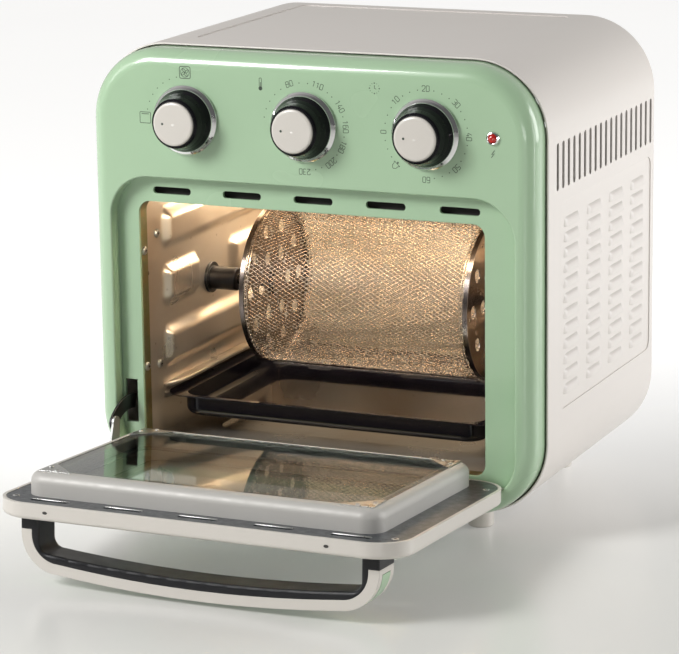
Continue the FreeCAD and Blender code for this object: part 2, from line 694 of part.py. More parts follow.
def knob_cap(x):
    profile = [(0, 18.3), (CAP_R, 18.3), (CAP_R, 20.6), (CAP_R - 0.5, 21.3),
               (CAP_R - 1.6, KNOB_FRONT - 0.15), (0, KNOB_FRONT)]
    return turned(profile, (x, 0, KNOB_Z), (0, -1, 0))


def knob_shaft(x):
    return rod(KNOB_SHAFT_R, (x, -13.9, KNOB_Z), (x, 22, KNOB_Z))


def pilot_lamp_bezel():
    profile = [(3.2, 0), (4.8, 0), (4.8, 0.9), (4.3, 1.7), (3.6, 2.0), (3.2, 1.8)]
    ring = turned(profile, (LAMP_X, 0, KNOB_Z), (0, -1, 0))
    barrel = tube(4.0, 3.2, (LAMP_X, -0.2, KNOB_Z), (LAMP_X, 10, KNOB_Z))
    return ring.fuse(barrel)


def pilot_lamp_lens():
    profile = [(0, -8), (3.1, -8), (3.1, 1.6), (2.8, 2.5), (2.0, 3.2), (1.0, 3.6), (0, 3.7)]
    return turned(profile, (LAMP_X, 0, KNOB_Z), (0, -1, 0))


# ---- door, made lying level with the hinge axis on the X axis ------------------------------
def door_prism(x0, x1, s0, s1, r, n0, n1):
    return flat_prism(x0, x1, -s1, -s0, r, n0, n1)


def middle_prism(half_w, s0, s1, r, n0, n1):
    return door_prism(-half_w, half_w, s0, s1, r, n0, n1)


def place_on_hinge(shape):
    """Lift the level door to its open angle and carry it to the hinge line."""
    placed = shape.copy()
    placed.rotate(Vector(0, 0, 0), Vector(1, 0, 0), -DOOR_TILT)
    placed.translate(Vector(0, HINGE_Y, HINGE_Z))
    return placed


def hinge_pin_solids(radius, reach):
    return [rod(radius, (side * 126, 0, 0), (side * reach, 0, 0)) for side in (-1, 1)]


def door_frame():
    solid = middle_prism(DOOR_HALF_W, DOOR_S0, DOOR_S1, DOOR_R, DOOR_N0, DOOR_N1)
    solid = rounded_at(solid, 3, "Z", DOOR_N0)
    cutters = [middle_prism(PLATE_HALF_W + 0.3, -0.4, PLATE_S1 + 0.3, 25.3, PLATE_TOP - 1.0, 6),
               middle_prism(147, 5, 199, 22, -4, 4),
               middle_prism(110, 30, 160, 12, -8, 0),
               box(-149.7, -146, -38.5, -21.5, 2, 8)]
    cutters += hinge_pin_solids(HINGE_PIN_R + 0.02, 160)
    return solid.cut(cutters)


def pocket_surround():
    """Room that the frame takes up around its pocket, kept a little clear of the open door."""
    clearance = 0.5
    block = box(-160, 160, -clearance, RECESS_DEPTH + 5, 20, 80)
    free = upright_prism(-RECESS_HALF_W + clearance, RECESS_HALF_W - clearance,
                         RECESS_BOTTOM + clearance, RECESS_TOP, RECESS_R - clearance, -5,
                         RECESS_DEPTH + 10)
    return block.cut(free)


def door_flange_plate():
    plate = middle_prism(PLATE_HALF_W, 0, PLATE_S1, 25, PLATE_TOP - 1.0, PLATE_TOP)
    cutters = [door_prism(PAN_X0 + 8.5, PAN_X1 - 8.5, PAN_S0 + 9, PAN_S1 - 9, 8, 0, 8),
               box(-149.7, -147.1, -38.5, -21.5, 0, 8)]
    for x in air_slot_positions():
        cutters.append(flat_prism(x - 14.2, x + 14.2, -195.5, -191.5, 1.9, 0, 8))
    cutters += [rod(1.9, (x, -s, 0), (x, -s, 8)) for x, s in door_screw_positions()]
    return plate.cut(cutters)


def door_pan():
    wall = 1.2
    fit = 0.3
    outer = door_prism(PAN_X0, PAN_X1, PAN_S0, PAN_S1, 14, PLATE_TOP, PAN_TOP)
    outer = rounded_at(outer, PAN_ROUND, "Z", PAN_TOP)
    inner = door_prism(PAN_X0 + wall, PAN_X1 - wall, PAN_S0 + wall, PAN_S1 - wall, 14 - wall, 4,
                       PAN_TOP - 4)
    inner = rounded_at(inner, PAN_ROUND - 1.5, "Z", PAN_TOP - 4)
    pocket = door_prism(GLASS_X0 - fit, GLASS_X1 + fit, GLASS_S0 - fit, GLASS_S1 + fit, 6,
                        PAN_TOP - 3, PAN_TOP + 1)
    window = door_prism(GLASS_X0 + 6.5, GLASS_X1 - 6.5, GLASS_S0 + 6.5, GLASS_S1 - 6.5, 6, 4,
                        PAN_TOP + 1)
    return outer.cut([inner, pocket, window])


def door_inner_glass():
    return door_prism(GLASS_X0, GLASS_X1, GLASS_S0, GLASS_S1, 5.7, PAN_TOP - 3, PAN_TOP - 0.2)


def door_outer_glass():
    return middle_prism(118, 24, 166, 10, -4, -1)


def clip_corners():
    """Corners of the pan's flat top, with the directions that point to its middle."""
    inset = PAN_ROUND + 0.7
    return [(x, s, to_middle_x, to_middle_s)
            for x, to_middle_x in ((PAN_X0 + inset, 1), (PAN_X1 - inset, -1))
            for s, to_middle_s in ((PAN_S0 + inset, 1), (PAN_S1 - inset, -1))]


def glass_corner_clips():
    clips = []
    for x, s, in_x, in_s in clip_corners():
        outline = [(x, s), (x + in_x * 24, s), (x + in_x * 21, s + in_s * 4),
                   (x + in_x * 4, s + in_s * 21), (x, s + in_s * 24)]
        points = [Vector(px, -ps, PAN_TOP) for px, ps in outline]
        face = Part.Face(Part.makePolygon(points + points[:1]))
        clips.append(face.extrude(Vector(0, 0, 0.8)))
    return clips


def door_rivets():
    """Domed rivets on the glass clips, and the rivet that holds the hinge link."""
    dome = [(0, 0), (1.7, 0), (1.6, 0.5), (1.1, 0.95), (0, 1.15)]
    rivets = []
    for x, s, in_x, in_s in clip_corners():
        for dx, ds in ((12, 3), (3, 12)):
            rivets.append(turned(dome, (x + in_x * dx, -(s + in_s * ds), PAN_TOP + 0.8),
                                 (0, 0, 1)))
    link = [(0, 0), (2.4, 0), (2.2, 0.8), (1.4, 1.4), (0, 1.6)]
    rivets.append(turned(link, (-151.0, -LINK_S, LINK_N), (-1, 0, 0)))
    return rivets


def door_screw_positions():
    return [(-142, 187), (142, 187), (-141, 17), (143.5, 24)]


def door_screws():
    """Countersunk screws whose heads lie just proud of the flange plate."""
    profile = [(0, -5), (1.5, -5), (1.5, 0), (2.6, 0), (2.4, 0.3), (0, 0.4)]
    return [turned(profile, (x, -s, PLATE_TOP), (0, 0, 1)) for x, s in door_screw_positions()]


def bow_outline(half_w, corner_r, end_n, middle_n, top_n):
    """Closed U-shaped outline, seen along the door, with a gently bowed bottom edge."""
    centre = half_w - corner_r
    bend = corner_r * math.sqrt(0.5)

    def point(x, n):
        return Vector(x, -HANDLE_S1, n)
    left_bend = point(-centre - bend, end_n + corner_r - bend)
    right_bend = point(centre + bend, end_n + corner_r - bend)
    left_top, left_low = point(-half_w, top_n), point(-half_w, end_n + corner_r)
    right_top, right_low = point(half_w, top_n), point(half_w, end_n + corner_r)
    left_end, right_end = point(-centre, end_n), point(centre, end_n)
    edges = [Part.LineSegment(left_top, left_low), Part.Arc(left_low, left_bend, left_end),
             Part.Arc(left_end, point(0, middle_n), right_end),
             Part.Arc(right_end, right_bend, right_low), Part.LineSegment(right_low, right_top),
             Part.LineSegment(right_top, left_top)]
    return Part.Face(Part.Wire([edge.toShape() for edge in edges]))


def bow_solid(half_w, corner_r, end_n, middle_n, top_n, s0=HANDLE_S0, s1=HANDLE_S1):
    face = bow_outline(half_w, corner_r, end_n, middle_n, top_n)
    solid = face.extrude(Vector(0, s1 - s0, 0))
    solid.translate(Vector(0, HANDLE_S1 - s1, 0))
    return solid


def handle_core():
    grip = bow_solid(126, 20, -39, -45, -14)
    roots = box(-134, 134, -HANDLE_S1, -HANDLE_S0, -16, DOOR_N0)
    finger_gap = bow_solid(121, 8, -33, -38.5, DOOR_N0 + 1, HANDLE_S0 - 1, HANDLE_S1 + 1)
    core = grip.fuse(roots).cut(finger_gap)
    finger_edges = [edge for edge in core.Edges if on_handle_side(edge) and in_finger_gap(edge)]
    return core.makeFillet(2, finger_edges)


def on_handle_side(edge):
    sides = (-HANDLE_S0, -HANDLE_S1)
    return edge.BoundBox.YLength < 0.01 and min(abs(edge.BoundBox.YMin - side) for side in sides) < 0.01


def in_finger_gap(edge):
    bounds = edge.BoundBox
    inside = bounds.XMin > -121.1 and bounds.XMax < 121.1 and bounds.ZMin > -38.6
    return inside and bounds.ZMin < DOOR_N0 - 1


def handle_trim():
    outer = bow_solid(134, 28, -46.5, -52.5, -16.2)
    inner = bow_solid(126.1, 20.1, -39.1, -45.1, -10, HANDLE_S0 - 1, HANDLE_S1 + 1)
    groove = inlay_band(grow=2, inset=1.2, top_n=-20, s0=174.5, s1=188.5)
    return outer.cut([inner, groove])


def inlay_band(grow, inset, top_n, s0, s1):
    """Band along the outward face of the trim, from inset below it to grow above it."""
    outside = bow_solid(134 + grow, 28 + grow, -46.5 - grow, -52.5 - grow, -16, s0, s1)
    inside = bow_solid(134 - inset, 28 - inset, -46.5 + inset, -52.5 + inset, -10, s0 - 1, s1 + 1)
    above = box(-150, 150, -s1 - 1, -s0 + 1, top_n, 0)
    return outside.cut([inside, above])


def handle_inlay():
    return inlay_band(grow=0.1, inset=1.1, top_n=-20.3, s0=174.8, s1=188.2)


def hinge_bracket():
    """Upright lug on the door, standing on a foot riveted under the flange plate."""
    def point(s, n):
        return Vector(-149.2, -s, n)
    top = LINK_N + 5
    edges = [Part.LineSegment(point(22, 2.7), point(38, 2.7)),
             Part.LineSegment(point(38, 2.7), point(32, LINK_N)),
             Part.Arc(point(32, LINK_N), point(LINK_S, top), point(22, LINK_N)),
             Part.LineSegment(point(22, LINK_N), point(22, 2.7))]
    lug = Part.Face(Part.Wire([edge.toShape() for edge in edges])).extrude(Vector(1.6, 0, 0))
    foot_plate = box(-149.2, -138, -38, -22, 2.5, PLATE_TOP - 1.0)
    return lug.fuse(foot_plate)


def hinge_link():
    """Curved link, concentric with the hinge, that slides through the slot in the frame."""
    far_angle = 78.0
    near_angle = math.degrees(math.atan2(LINK_N, -LINK_S))
    band = Part.makeCylinder(LINK_R + LINK_HALF_H, 1.5, Vector(0, 0, 0), Vector(0, 0, 1),
                             near_angle - far_angle)
    hole = Part.makeCylinder(LINK_R - LINK_HALF_H, 4, Vector(0, 0, -1), Vector(0, 0, 1), 360)
    band = band.cut(hole)
    band.rotate(Vector(0, 0, 0), Vector(0, 0, 1), far_angle)
    turn = FreeCAD.Rotation(Vector(0, 1, 0), Vector(0, 0, 1), Vector(1, 0, 0), "ZXY")
    band.Placement = FreeCAD.Placement(Vector(-151.0, 0, 0), turn).multiply(band.Placement)
    eye = rod(LINK_HALF_H, (-151.0, -LINK_S, LINK_N), (-149.5, -LINK_S, LINK_N))
    return band.fuse(eye)


# ---- writing the parts --------------------------------------------------------------------
def save_body():
    save("front_frame", front_frame())
    save("outer_casing", outer_casing())
    save("rear_cover", rear_cover())
    save("base_plate", base_plate())
    for side, side_name in ((-1, "left"), (1, "right")):
        for y, end_name in zip(FOOT_Y, ("front", "rear")):
            save("foot_" + end_name + "_" + side_name, foot(side * FOOT_X, y))
    save("cord_gland", cord_gland())
    save_group("body_screws", body_screws())


def save_cavity():
    save("cavity_front_flange", cavity_front_flange())
    save("cavity_left_wall", cavity_side_wall(-1))
    save("cavity_right_wall", cavity_side_wall(1))
    save("cavity_back_wall", cavity_back_wall())
    save("cavity_roof", cavity_roof())
    save("cavity_floor", cavity_floor())
    save("baking_tray", baking_tray())


def save_hot_air_unit():
    save("heating_element", heating_element())
    save("fan_guard", fan_guard())
    save("fan_housing", fan_housing())
    save("fan_motor", fan_motor())
    bore_r = FAN_SHAFT_R + 0.02
    save("fan_blade", bladed_disc(266, 254, FAN_R, 8, 10, bore_r))
    save("cooling_fan", bladed_disc(281, 291, 38, 6, 8, bore_r))
    save("fan_shaft", rod(FAN_SHAFT_R, (FAN_X, FAN_Y, 254), (FAN_X, FAN_Y, 330)))


def save_basket():
    save("basket_mesh", basket_mesh())
    save("basket_left_end", basket_left_end())
    save("basket_right_end", basket_right_end())
    save("basket_latch", basket_latch())
    save("spit_bearing", spit_bearing())
    save("drive_socket", drive_socket())
    save("rotisserie_motor", rotisserie_motor())


def save_controls():
    save("control_bracket", control_bracket())
    save("selector_switch", selector_switch())
    save("thermostat", thermostat())
    save("timer", timer())
    save("pilot_lamp_bezel", pilot_lamp_bezel())
    save("pilot_lamp_lens", pilot_lamp_lens())
    for x, name in zip(KNOB_X, ("selector", "thermostat", "timer")):
        save(name + "_knob", knob_skirt(x))
        save(name + "_knob_cap", knob_cap(x))
        save(name + "_knob_shaft", knob_shaft(x))


def save_door():
    single = {"door_frame": door_frame, "door_flange_plate": door_flange_plate,
              "door_pan": door_pan, "door_inner_glass": door_inner_glass,
              "door_outer_glass": door_outer_glass, "handle_core": handle_core,
              "handle_trim": handle_trim, "handle_inlay": handle_inlay,
              "hinge_bracket": hinge_bracket, "hinge_link": hinge_link}
    for name, make in single.items():
        solid = place_on_hinge(make())
        save(name, solid.cut(pocket_surround()) if name == "door_frame" else solid)
    groups = {"glass_corner_clips": glass_corner_clips(), "door_rivets": door_rivets(),
              "door_screws": door_screws(), "hinge_pins": hinge_pin_solids(HINGE_PIN_R, 151.5)}
    for name, solids in groups.items():
        save_group(name, [place_on_hinge(solid) for solid in solids])


os.makedirs("parts", exist_ok=True)
save_body()
save_cavity()
save_hot_air_unit()
save_basket()
save_controls()
save_door()
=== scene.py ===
"""Looks, light and camera for the countertop air fryer oven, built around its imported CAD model.

Lengths in the helpers are millimetres, in the same place names as the CAD: x to the right,
depth behind the front face of the control panel, z up. spot() turns them into the frame's metres.
"""
import bpy
import json
import math
from mathutils import Matrix, Vector


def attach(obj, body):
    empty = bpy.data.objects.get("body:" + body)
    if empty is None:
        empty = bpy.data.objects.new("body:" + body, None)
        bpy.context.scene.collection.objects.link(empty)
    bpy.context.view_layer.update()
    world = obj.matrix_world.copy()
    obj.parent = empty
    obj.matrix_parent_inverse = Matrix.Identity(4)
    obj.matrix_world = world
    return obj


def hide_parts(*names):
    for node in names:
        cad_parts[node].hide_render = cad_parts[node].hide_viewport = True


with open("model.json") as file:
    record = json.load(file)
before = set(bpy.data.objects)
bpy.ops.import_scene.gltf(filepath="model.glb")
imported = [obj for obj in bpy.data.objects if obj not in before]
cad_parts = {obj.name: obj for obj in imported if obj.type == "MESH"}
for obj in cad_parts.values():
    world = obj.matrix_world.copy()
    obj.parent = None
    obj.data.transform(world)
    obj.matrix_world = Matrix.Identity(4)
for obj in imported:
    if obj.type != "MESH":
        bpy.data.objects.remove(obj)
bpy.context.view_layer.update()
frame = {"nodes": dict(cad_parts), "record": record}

MM = 0.001
FRONT_FACE = -31.0             # row-frame y of the control panel's front face
PANEL_Z = 297.0                # height of the knobs
KNOB_X = {"selector": -94.2, "thermostat": -1.0, "timer": 92.2}
# Beyond this foot the knob's chrome cone is painted black, a painted dark reflection.
KNOB_FOOT_DEPTH = 5.2          # how far the bright foot of a knob stands off the panel
LAMP_X = 142.1
HINGE_DEPTH = 5.6
HINGE_Z = 43.5
DOOR_TILT = math.radians(3.7)
BASKET_DEPTH = 130.0
BASKET_Z = 151.0
CAMERA_AZIMUTH, CAMERA_ELEVATION, CAMERA_ROLL = 23.8, 13.29, -0.78     # degrees
CAMERA_TARGET = Vector((0.0, 0.02426, 0.13928))                        # metres
CAMERA_DISTANCE = 2.2982                                               # metres
CAMERA_LENS, CAMERA_SENSOR = 165.68, 36.0
STUDIO_SIDE = (-0.62, 0.78, 0.0)        # direction of the white side of the studio
WARM = (1.0, 0.82, 0.60)                # colour of the oven's own lamp light


def spot(x, depth, z):
    """Point in the row frame, in metres."""
    return Vector((x, FRONT_FACE + depth, z)) * MM


def on_door(x, s, n):
    """Point on the open door: s runs from the hinge to the free end, n stands off it."""
    depth = HINGE_DEPTH - s * math.cos(DOOR_TILT) + n * math.sin(DOOR_TILT)
    z = HINGE_Z + s * math.sin(DOOR_TILT) + n * math.cos(DOOR_TILT)
    return spot(x, depth, z)


# ---- camera, world, light and floor -------------------------------------------------------
def make_camera():
    azimuth = math.radians(CAMERA_AZIMUTH)
    elevation = math.radians(CAMERA_ELEVATION)
    roll = math.radians(CAMERA_ROLL)
    back = Vector((math.sin(azimuth) * math.cos(elevation),
                   -math.cos(azimuth) * math.cos(elevation), math.sin(elevation)))
    level_x = Vector((0, 0, 1)).cross(back).normalized()
    level_y = back.cross(level_x)
    right = math.cos(roll) * level_x + math.sin(roll) * level_y
    up = math.cos(roll) * level_y - math.sin(roll) * level_x
    data = bpy.data.cameras.new("camera")
    data.sensor_width = CAMERA_SENSOR
    data.lens = CAMERA_LENS
    data.clip_end = 100.0
    camera = bpy.data.objects.new("camera", data)
    turn = Matrix((right, up, back)).transposed().to_4x4()
    camera.matrix_world = Matrix.Translation(CAMERA_TARGET + back * CAMERA_DISTANCE) @ turn
    bpy.context.scene.collection.objects.link(camera)
    bpy.context.scene.camera = camera


def make_world():
    """White studio behind and to the left of the object, dim room on the camera's side."""
    world = bpy.data.worlds.new("studio")
    world.use_nodes = True
    nodes, links = world.node_tree.nodes, world.node_tree.links
    coords = nodes.new("ShaderNodeTexCoord")
    toward_light = nodes.new("ShaderNodeVectorMath")
    toward_light.operation = "DOT_PRODUCT"
    toward_light.inputs[1].default_value = STUDIO_SIDE
    spread = nodes.new("ShaderNodeMapRange")
    spread.inputs["From Min"].default_value = -1.0
    ramp = nodes.new("ShaderNodeValToRGB")
    links.new(coords.outputs["Generated"], toward_light.inputs[0])
    links.new(toward_light.outputs["Value"], spread.inputs["Value"])
    links.new(spread.outputs[0], ramp.inputs[0])
    elements = ramp.color_ramp.elements
    elements[0].position = 0.25
    elements[0].color = (0.11, 0.11, 0.108, 1)
    elements[1].position = 0.72
    elements[1].color = (0.49, 0.48, 0.465, 1)
    links.new(ramp.outputs[0], nodes["Background"].inputs["Color"])
    bpy.context.scene.world = world


def place_light(name, data, place):
    """Puts a light in the scene; the camera sees its light but not the lamp itself."""
    light = bpy.data.objects.new(name, data)
    light.location = place
    light.visible_camera = False
    bpy.context.scene.collection.objects.link(light)
    return light


def area_light(name, place, aim, width, height, power, colour=(1, 1, 1)):
    data = bpy.data.lights.new(name, "AREA")
    data.shape = "RECTANGLE"
    data.size = width
    data.size_y = height
    data.energy = power
    data.color = colour
    light = place_light(name, data, place)
    direction = Vector(aim) - Vector(place)
    light.rotation_euler = direction.to_track_quat("-Z", "Y").to_euler()


def glow_light(name, place, power, radius, colour):
    data = bpy.data.lights.new(name, "POINT")
    data.energy = power
    data.shadow_soft_size = radius
    data.color = colour
    place_light(name, data, place)


def make_lights():
    area_light("key", (-0.9, -1.25, 1.15), (0, 0, 0.24), 0.6, 0.6, 25)
    area_light("left_card", (-1.2, -0.7, 0.7), (-0.1, -0.05, 0.3), 0.35, 0.5, 1.6)
    area_light("side_panel", (1.5, 0.75, 0.55), (0.1, 0.1, 0.2), 0.9, 0.9, 15)
    area_light("edge_strip", (1.1, 0.02, 0.30), (0.17, 0, 0.18), 0.06, 0.5, 0.9)
    area_light("low_fill", (0.9, -1.5, 0.25), (0.05, -0.15, 0.03), 0.5, 0.3, 2.2)
    area_light("cavity_front", spot(10, 40, 229), spot(-20, 170, 95), 0.20, 0.012, 0.26, WARM)
    area_light("cavity_rear", spot(-5, 188, 229), spot(-5, 226, 90), 0.24, 0.020, 0.62, WARM)
    area_light("under_tray", spot(-10, 150, 63), spot(-10, 150, 40), 0.20, 0.10, 0.018, WARM)
    glow_light("cavity_left", spot(-112, 140, 222), 0.09, 0.010, WARM)


# ---- material tools -----------------------------------------------------------------------
class Finish:
    """A Principled material with texture nodes measured in metres on the object."""

    def __init__(self, name, **sockets):
        self.data = bpy.data.materials.new(name)
        self.data.use_nodes = True
        self.tree = self.data.node_tree
        self.shader = self.tree.nodes["Principled BSDF"]
        self.place = self.add("ShaderNodeTexCoord").outputs["Object"]
        self.normal = None
        for socket, value in sockets.items():
            self.shader.inputs[socket.replace("_", " ")].default_value = value

    def add(self, kind, **values):
        node = self.tree.nodes.new(kind)
        for name, value in values.items():
            setattr(node, name, value)
        return node

    def join(self, output, target):
        self.tree.links.new(output, target)

    def stretched(self, x, y, z):
        mapping = self.add("ShaderNodeMapping")
        mapping.inputs["Scale"].default_value = (x, y, z)
        self.join(self.place, mapping.inputs[0])
        return mapping.outputs[0]

    def noise(self, scale, detail=3.0, roughness=0.55, along=(1, 1, 1)):
        texture = self.add("ShaderNodeTexNoise")
        texture.inputs["Scale"].default_value = scale
        texture.inputs["Detail"].default_value = detail
        texture.inputs["Roughness"].default_value = roughness
        self.join(self.stretched(*along), texture.inputs["Vector"])
        return texture.outputs[0]

    def cells(self, scale):
        texture = self.add("ShaderNodeTexVoronoi")
        texture.inputs["Scale"].default_value = scale
        self.join(self.stretched(1, 1, 1), texture.inputs["Vector"])
        return texture.outputs["Distance"]

    def axis(self, name):
        split = self.add("ShaderNodeSeparateXYZ")
        self.join(self.place, split.inputs[0])
        return split.outputs[name]

    def distance_along(self, x, y, z):
        """Place measured along a direction, in metres."""
        dot = self.add("ShaderNodeVectorMath", operation="DOT_PRODUCT")
        self.join(self.place, dot.inputs[0])
        dot.inputs[1].default_value = (x, y, z)
        return dot.outputs["Value"]

    def between(self, value, low, high, start=0.0, end=1.0):
        """Maps value from start..end to low..high, held at both ends."""
        mapped = self.add("ShaderNodeMapRange")
        for name, number in (("From Min", start), ("From Max", end),
                             ("To Min", low), ("To Max", high)):
            mapped.inputs[name].default_value = number
        self.join(value, mapped.inputs["Value"])
        return mapped.outputs[0]

    def times(self, first, second):
        product = self.add("ShaderNodeMath", operation="MULTIPLY")
        self.join(first, product.inputs[0])
        self.join(second, product.inputs[1])
        return product.outputs[0]

    def ramp(self, value, *stops):
        """Colour ramp; stops are (position, colour)."""
        node = self.add("ShaderNodeValToRGB")
        elements = node.color_ramp.elements
        while len(elements) < len(stops):
            elements.new(0.5)
        for element, (position, colour) in zip(elements, stops):
            element.position = position
            element.color = (*colour, 1)
        self.join(value, node.inputs[0])
        return node.outputs[0]

    def mixed(self, factor, first, second):
        """Mix of two colours; each is a socket or a plain colour."""
        node = self.add("ShaderNodeMix", data_type="RGBA")
        self.join(factor, node.inputs["Factor"])
        for socket, colour in (("A", first), ("B", second)):
            target = [s for s in node.inputs if s.name == socket and s.type == "RGBA"][0]
            if isinstance(colour, tuple):
                target.default_value = (*colour, 1)
            else:
                self.join(colour, target)
        return [s for s in node.outputs if s.type == "RGBA"][0]

    def colour(self, socket):
        self.join(socket, self.shader.inputs["Base Color"])

    def roughness(self, socket):
        self.join(socket, self.shader.inputs["Roughness"])

    def metallic(self, socket):
        self.join(socket, self.shader.inputs["Metallic"])

    def soften(self, radius):
        """Rounds sharp edges in the shading, radius in millimetres."""
        bevel = self.add("ShaderNodeBevel", samples=4)
        bevel.inputs["Radius"].default_value = radius * MM
        self.normal = bevel.outputs[0]
        self.join(self.normal, self.shader.inputs["Normal"])

    def edge(self, radius):
        """1 along sharp edges, 0 on flat faces."""
        bevel = self.add("ShaderNodeBevel", samples=4)
        bevel.inputs["Radius"].default_value = radius * MM
        dot = self.add("ShaderNodeVectorMath", operation="DOT_PRODUCT")
        self.join(bevel.outputs[0], dot.inputs[0])
        self.join(self.add("ShaderNodeNewGeometry").outputs["Normal"], dot.inputs[1])
        return self.between(dot.outputs["Value"], 1.0, 0.0, 0.75, 0.98)

    def bump(self, height, depth, strength=1.0):
        """Raised detail; depth is the height of the detail in millimetres."""
        node = self.add("ShaderNodeBump")
        node.inputs["Strength"].default_value = strength
        node.inputs["Distance"].default_value = depth * MM
        self.join(height, node.inputs["Height"])
        if self.normal is not None:
            self.join(self.normal, node.inputs["Normal"])
        self.normal = node.outputs[0]
        self.join(self.normal, self.shader.inputs["Normal"])


def gloss_paint(name, base, dark, rough, coat, edge_tint):
    """Sprayed gloss finish: slight colour drift, orange peel and lighter worn edges."""
    paint = Finish(name, Coat_Weight=coat, Coat_Roughness=0.04)
    drift = paint.noise(14, 3)
    body = paint.mixed(drift, dark, base)
    worn = paint.times(paint.edge(0.8), paint.between(paint.noise(300, 4), 0, 1, 0.45, 0.75))
    paint.colour(paint.mixed(worn, body, edge_tint))
    paint.roughness(paint.between(paint.noise(9, 2), rough * 0.95, rough * 1.08, 0.3, 0.7))
    paint.soften(0.5)
    paint.bump(paint.noise(420, 1), 0.004)
    return paint.data


def frame_green():
    return gloss_paint("frame_green", (0.395, 0.560, 0.370), (0.380, 0.545, 0.356), 0.26, 0.6,
                       (0.50, 0.65, 0.47))


def casing_cream():
    return gloss_paint("casing_cream", (0.76, 0.715, 0.675), (0.745, 0.70, 0.66), 0.36, 0.15,
                       (0.80, 0.76, 0.72))


def cream_plastic():
    plastic = Finish("cream_plastic", Coat_Weight=0.25, Coat_Roughness=0.12)
    body = plastic.mixed(plastic.noise(12, 2), (0.625, 0.590, 0.540), (0.645, 0.610, 0.560))
    worn = plastic.times(plastic.edge(0.7), plastic.between(plastic.noise(260, 3), 0, 1, 0.4, 0.7))
    plastic.colour(plastic.mixed(worn, body, (0.74, 0.71, 0.66)))
    plastic.roughness(plastic.between(plastic.noise(40, 2), 0.30, 0.38, 0.3, 0.7))
    plastic.soften(0.5)
    plastic.bump(plastic.noise(900, 2), 0.006)
    return plastic.data


def brushed_metal(name, light, dark, rough, grain, edge_tint=None, stain=None):
    """Metal with a brushed grain; grain is the stretch of the noise along x, y and z."""
    metal = Finish(name, Metallic=1.0)
    body = metal.mixed(metal.noise(40, 4, along=grain), dark, light)
    if stain is not None:
        patches = metal.between(metal.noise(9, 5, 0.6), 0, 0.9, 0.42, 0.70)
        body = metal.mixed(patches, body, stain)
    if edge_tint is not None:
        body = metal.mixed(metal.edge(0.6), body, edge_tint)
    metal.colour(body)
    metal.roughness(metal.between(metal.noise(70, 4, along=grain), rough * 0.75, rough * 1.3,
                                  0.3, 0.7))
    metal.soften(0.4)
    metal.bump(metal.noise(420, 3, along=grain), 0.015)
    return metal


def zinc_steel():
    zinc = brushed_metal("zinc_steel", (0.62, 0.62, 0.60), (0.48, 0.49, 0.48), 0.38, (1, 1, 1),
                         (0.75, 0.75, 0.73))
    zinc.bump(zinc.cells(160), 0.02, 0.6)
    return zinc.data


def cavity_steel():
    """Heat-tinted liner sheet: silver to bronze clouds with a few spatter marks."""
    steel = Finish("cavity_steel", Metallic=0.82)
    silver = steel.mixed(steel.noise(60, 3, along=(1, 0.25, 1)), (0.66, 0.60, 0.52),
                         (0.76, 0.70, 0.62))
    bronze = steel.between(steel.noise(7, 4, 0.55), 0.0, 0.75, 0.42, 0.70)
    body = steel.mixed(bronze, silver, (0.62, 0.48, 0.33))
    spatter = steel.between(steel.cells(70), 0.5, 0.0, 0.02, 0.10)
    steel.colour(steel.mixed(spatter, body, (0.26, 0.17, 0.09)))
    steel.roughness(steel.between(steel.noise(18, 3), 0.26, 0.40, 0.3, 0.7))
    steel.soften(0.9)
    steel.bump(steel.noise(30, 2), 0.35, 0.5)
    return steel.data


def passivated_steel():
    """Yellow-passivated zinc: olive and gold with faint pink and green clouds."""
    steel = Finish("passivated_steel", Metallic=0.9)
    clouds = steel.noise(45, 5, 0.6)
    steel.colour(steel.ramp(clouds, (0.25, (0.22, 0.17, 0.07)), (0.45, (0.34, 0.27, 0.12)),
                            (0.58, (0.27, 0.28, 0.14)), (0.75, (0.42, 0.30, 0.20))))
    steel.roughness(steel.between(steel.noise(150, 4), 0.34, 0.52, 0.3, 0.7))
    steel.soften(0.5)
    steel.bump(steel.noise(900, 3), 0.015)
    return steel.data


def element_sheath():
    """Oxidised heater sheath, glowing faintly where it is hottest."""
    sheath = Finish("element_sheath", Metallic=0.6, Emission_Strength=0.3)
    oxide = sheath.noise(120, 5)
    sheath.colour(sheath.ramp(oxide, (0.3, (0.05, 0.035, 0.03)), (0.7, (0.16, 0.10, 0.07))))
    heat = sheath.ramp(sheath.noise(18, 2), (0.35, (0.10, 0.012, 0.0)), (0.7, (0.9, 0.20, 0.02)))
    sheath.join(heat, sheath.shader.inputs["Emission Color"])
    sheath.roughness(sheath.between(oxide, 0.5, 0.8, 0.3, 0.7))
    sheath.bump(sheath.noise(1500, 2), 0.02)
    return sheath.data


def bright_wire():
    wire = Finish("bright_wire", Metallic=1.0)
    wire.colour(wire.mixed(wire.noise(60, 4), (0.36, 0.28, 0.21), (0.58, 0.50, 0.41)))
    wire.roughness(wire.between(wire.noise(300, 3), 0.16, 0.34, 0.3, 0.7))
    wire.bump(wire.noise(2500, 1), 0.01)
    return wire.data


def basket_steel():
    return brushed_metal("basket_steel", (0.26, 0.22, 0.20), (0.15, 0.12, 0.11), 0.22,
                         (1, 1, 1), (0.50, 0.45, 0.40), (0.16, 0.11, 0.07)).data


def fan_aluminium():
    return brushed_metal("fan_aluminium", (0.70, 0.70, 0.69), (0.55, 0.55, 0.54), 0.34,
                         (1, 1, 0.3), (0.80, 0.80, 0.79)).data


def motor_steel():
    """Stacked laminations: fine dark lines across the metal."""
    steel = brushed_metal("motor_steel", (0.40, 0.40, 0.41), (0.27, 0.27, 0.28), 0.42,
                          (1, 1, 1), (0.55, 0.55, 0.55))
    layers = steel.add("ShaderNodeTexWave", wave_type="BANDS", bands_direction="Z")
    layers.inputs["Scale"].default_value = 300
    layers.inputs["Distortion"].default_value = 0.3
    steel.join(steel.place, layers.inputs["Vector"])
    steel.bump(layers.outputs["Fac"], 0.08, 0.7)
    return steel.data


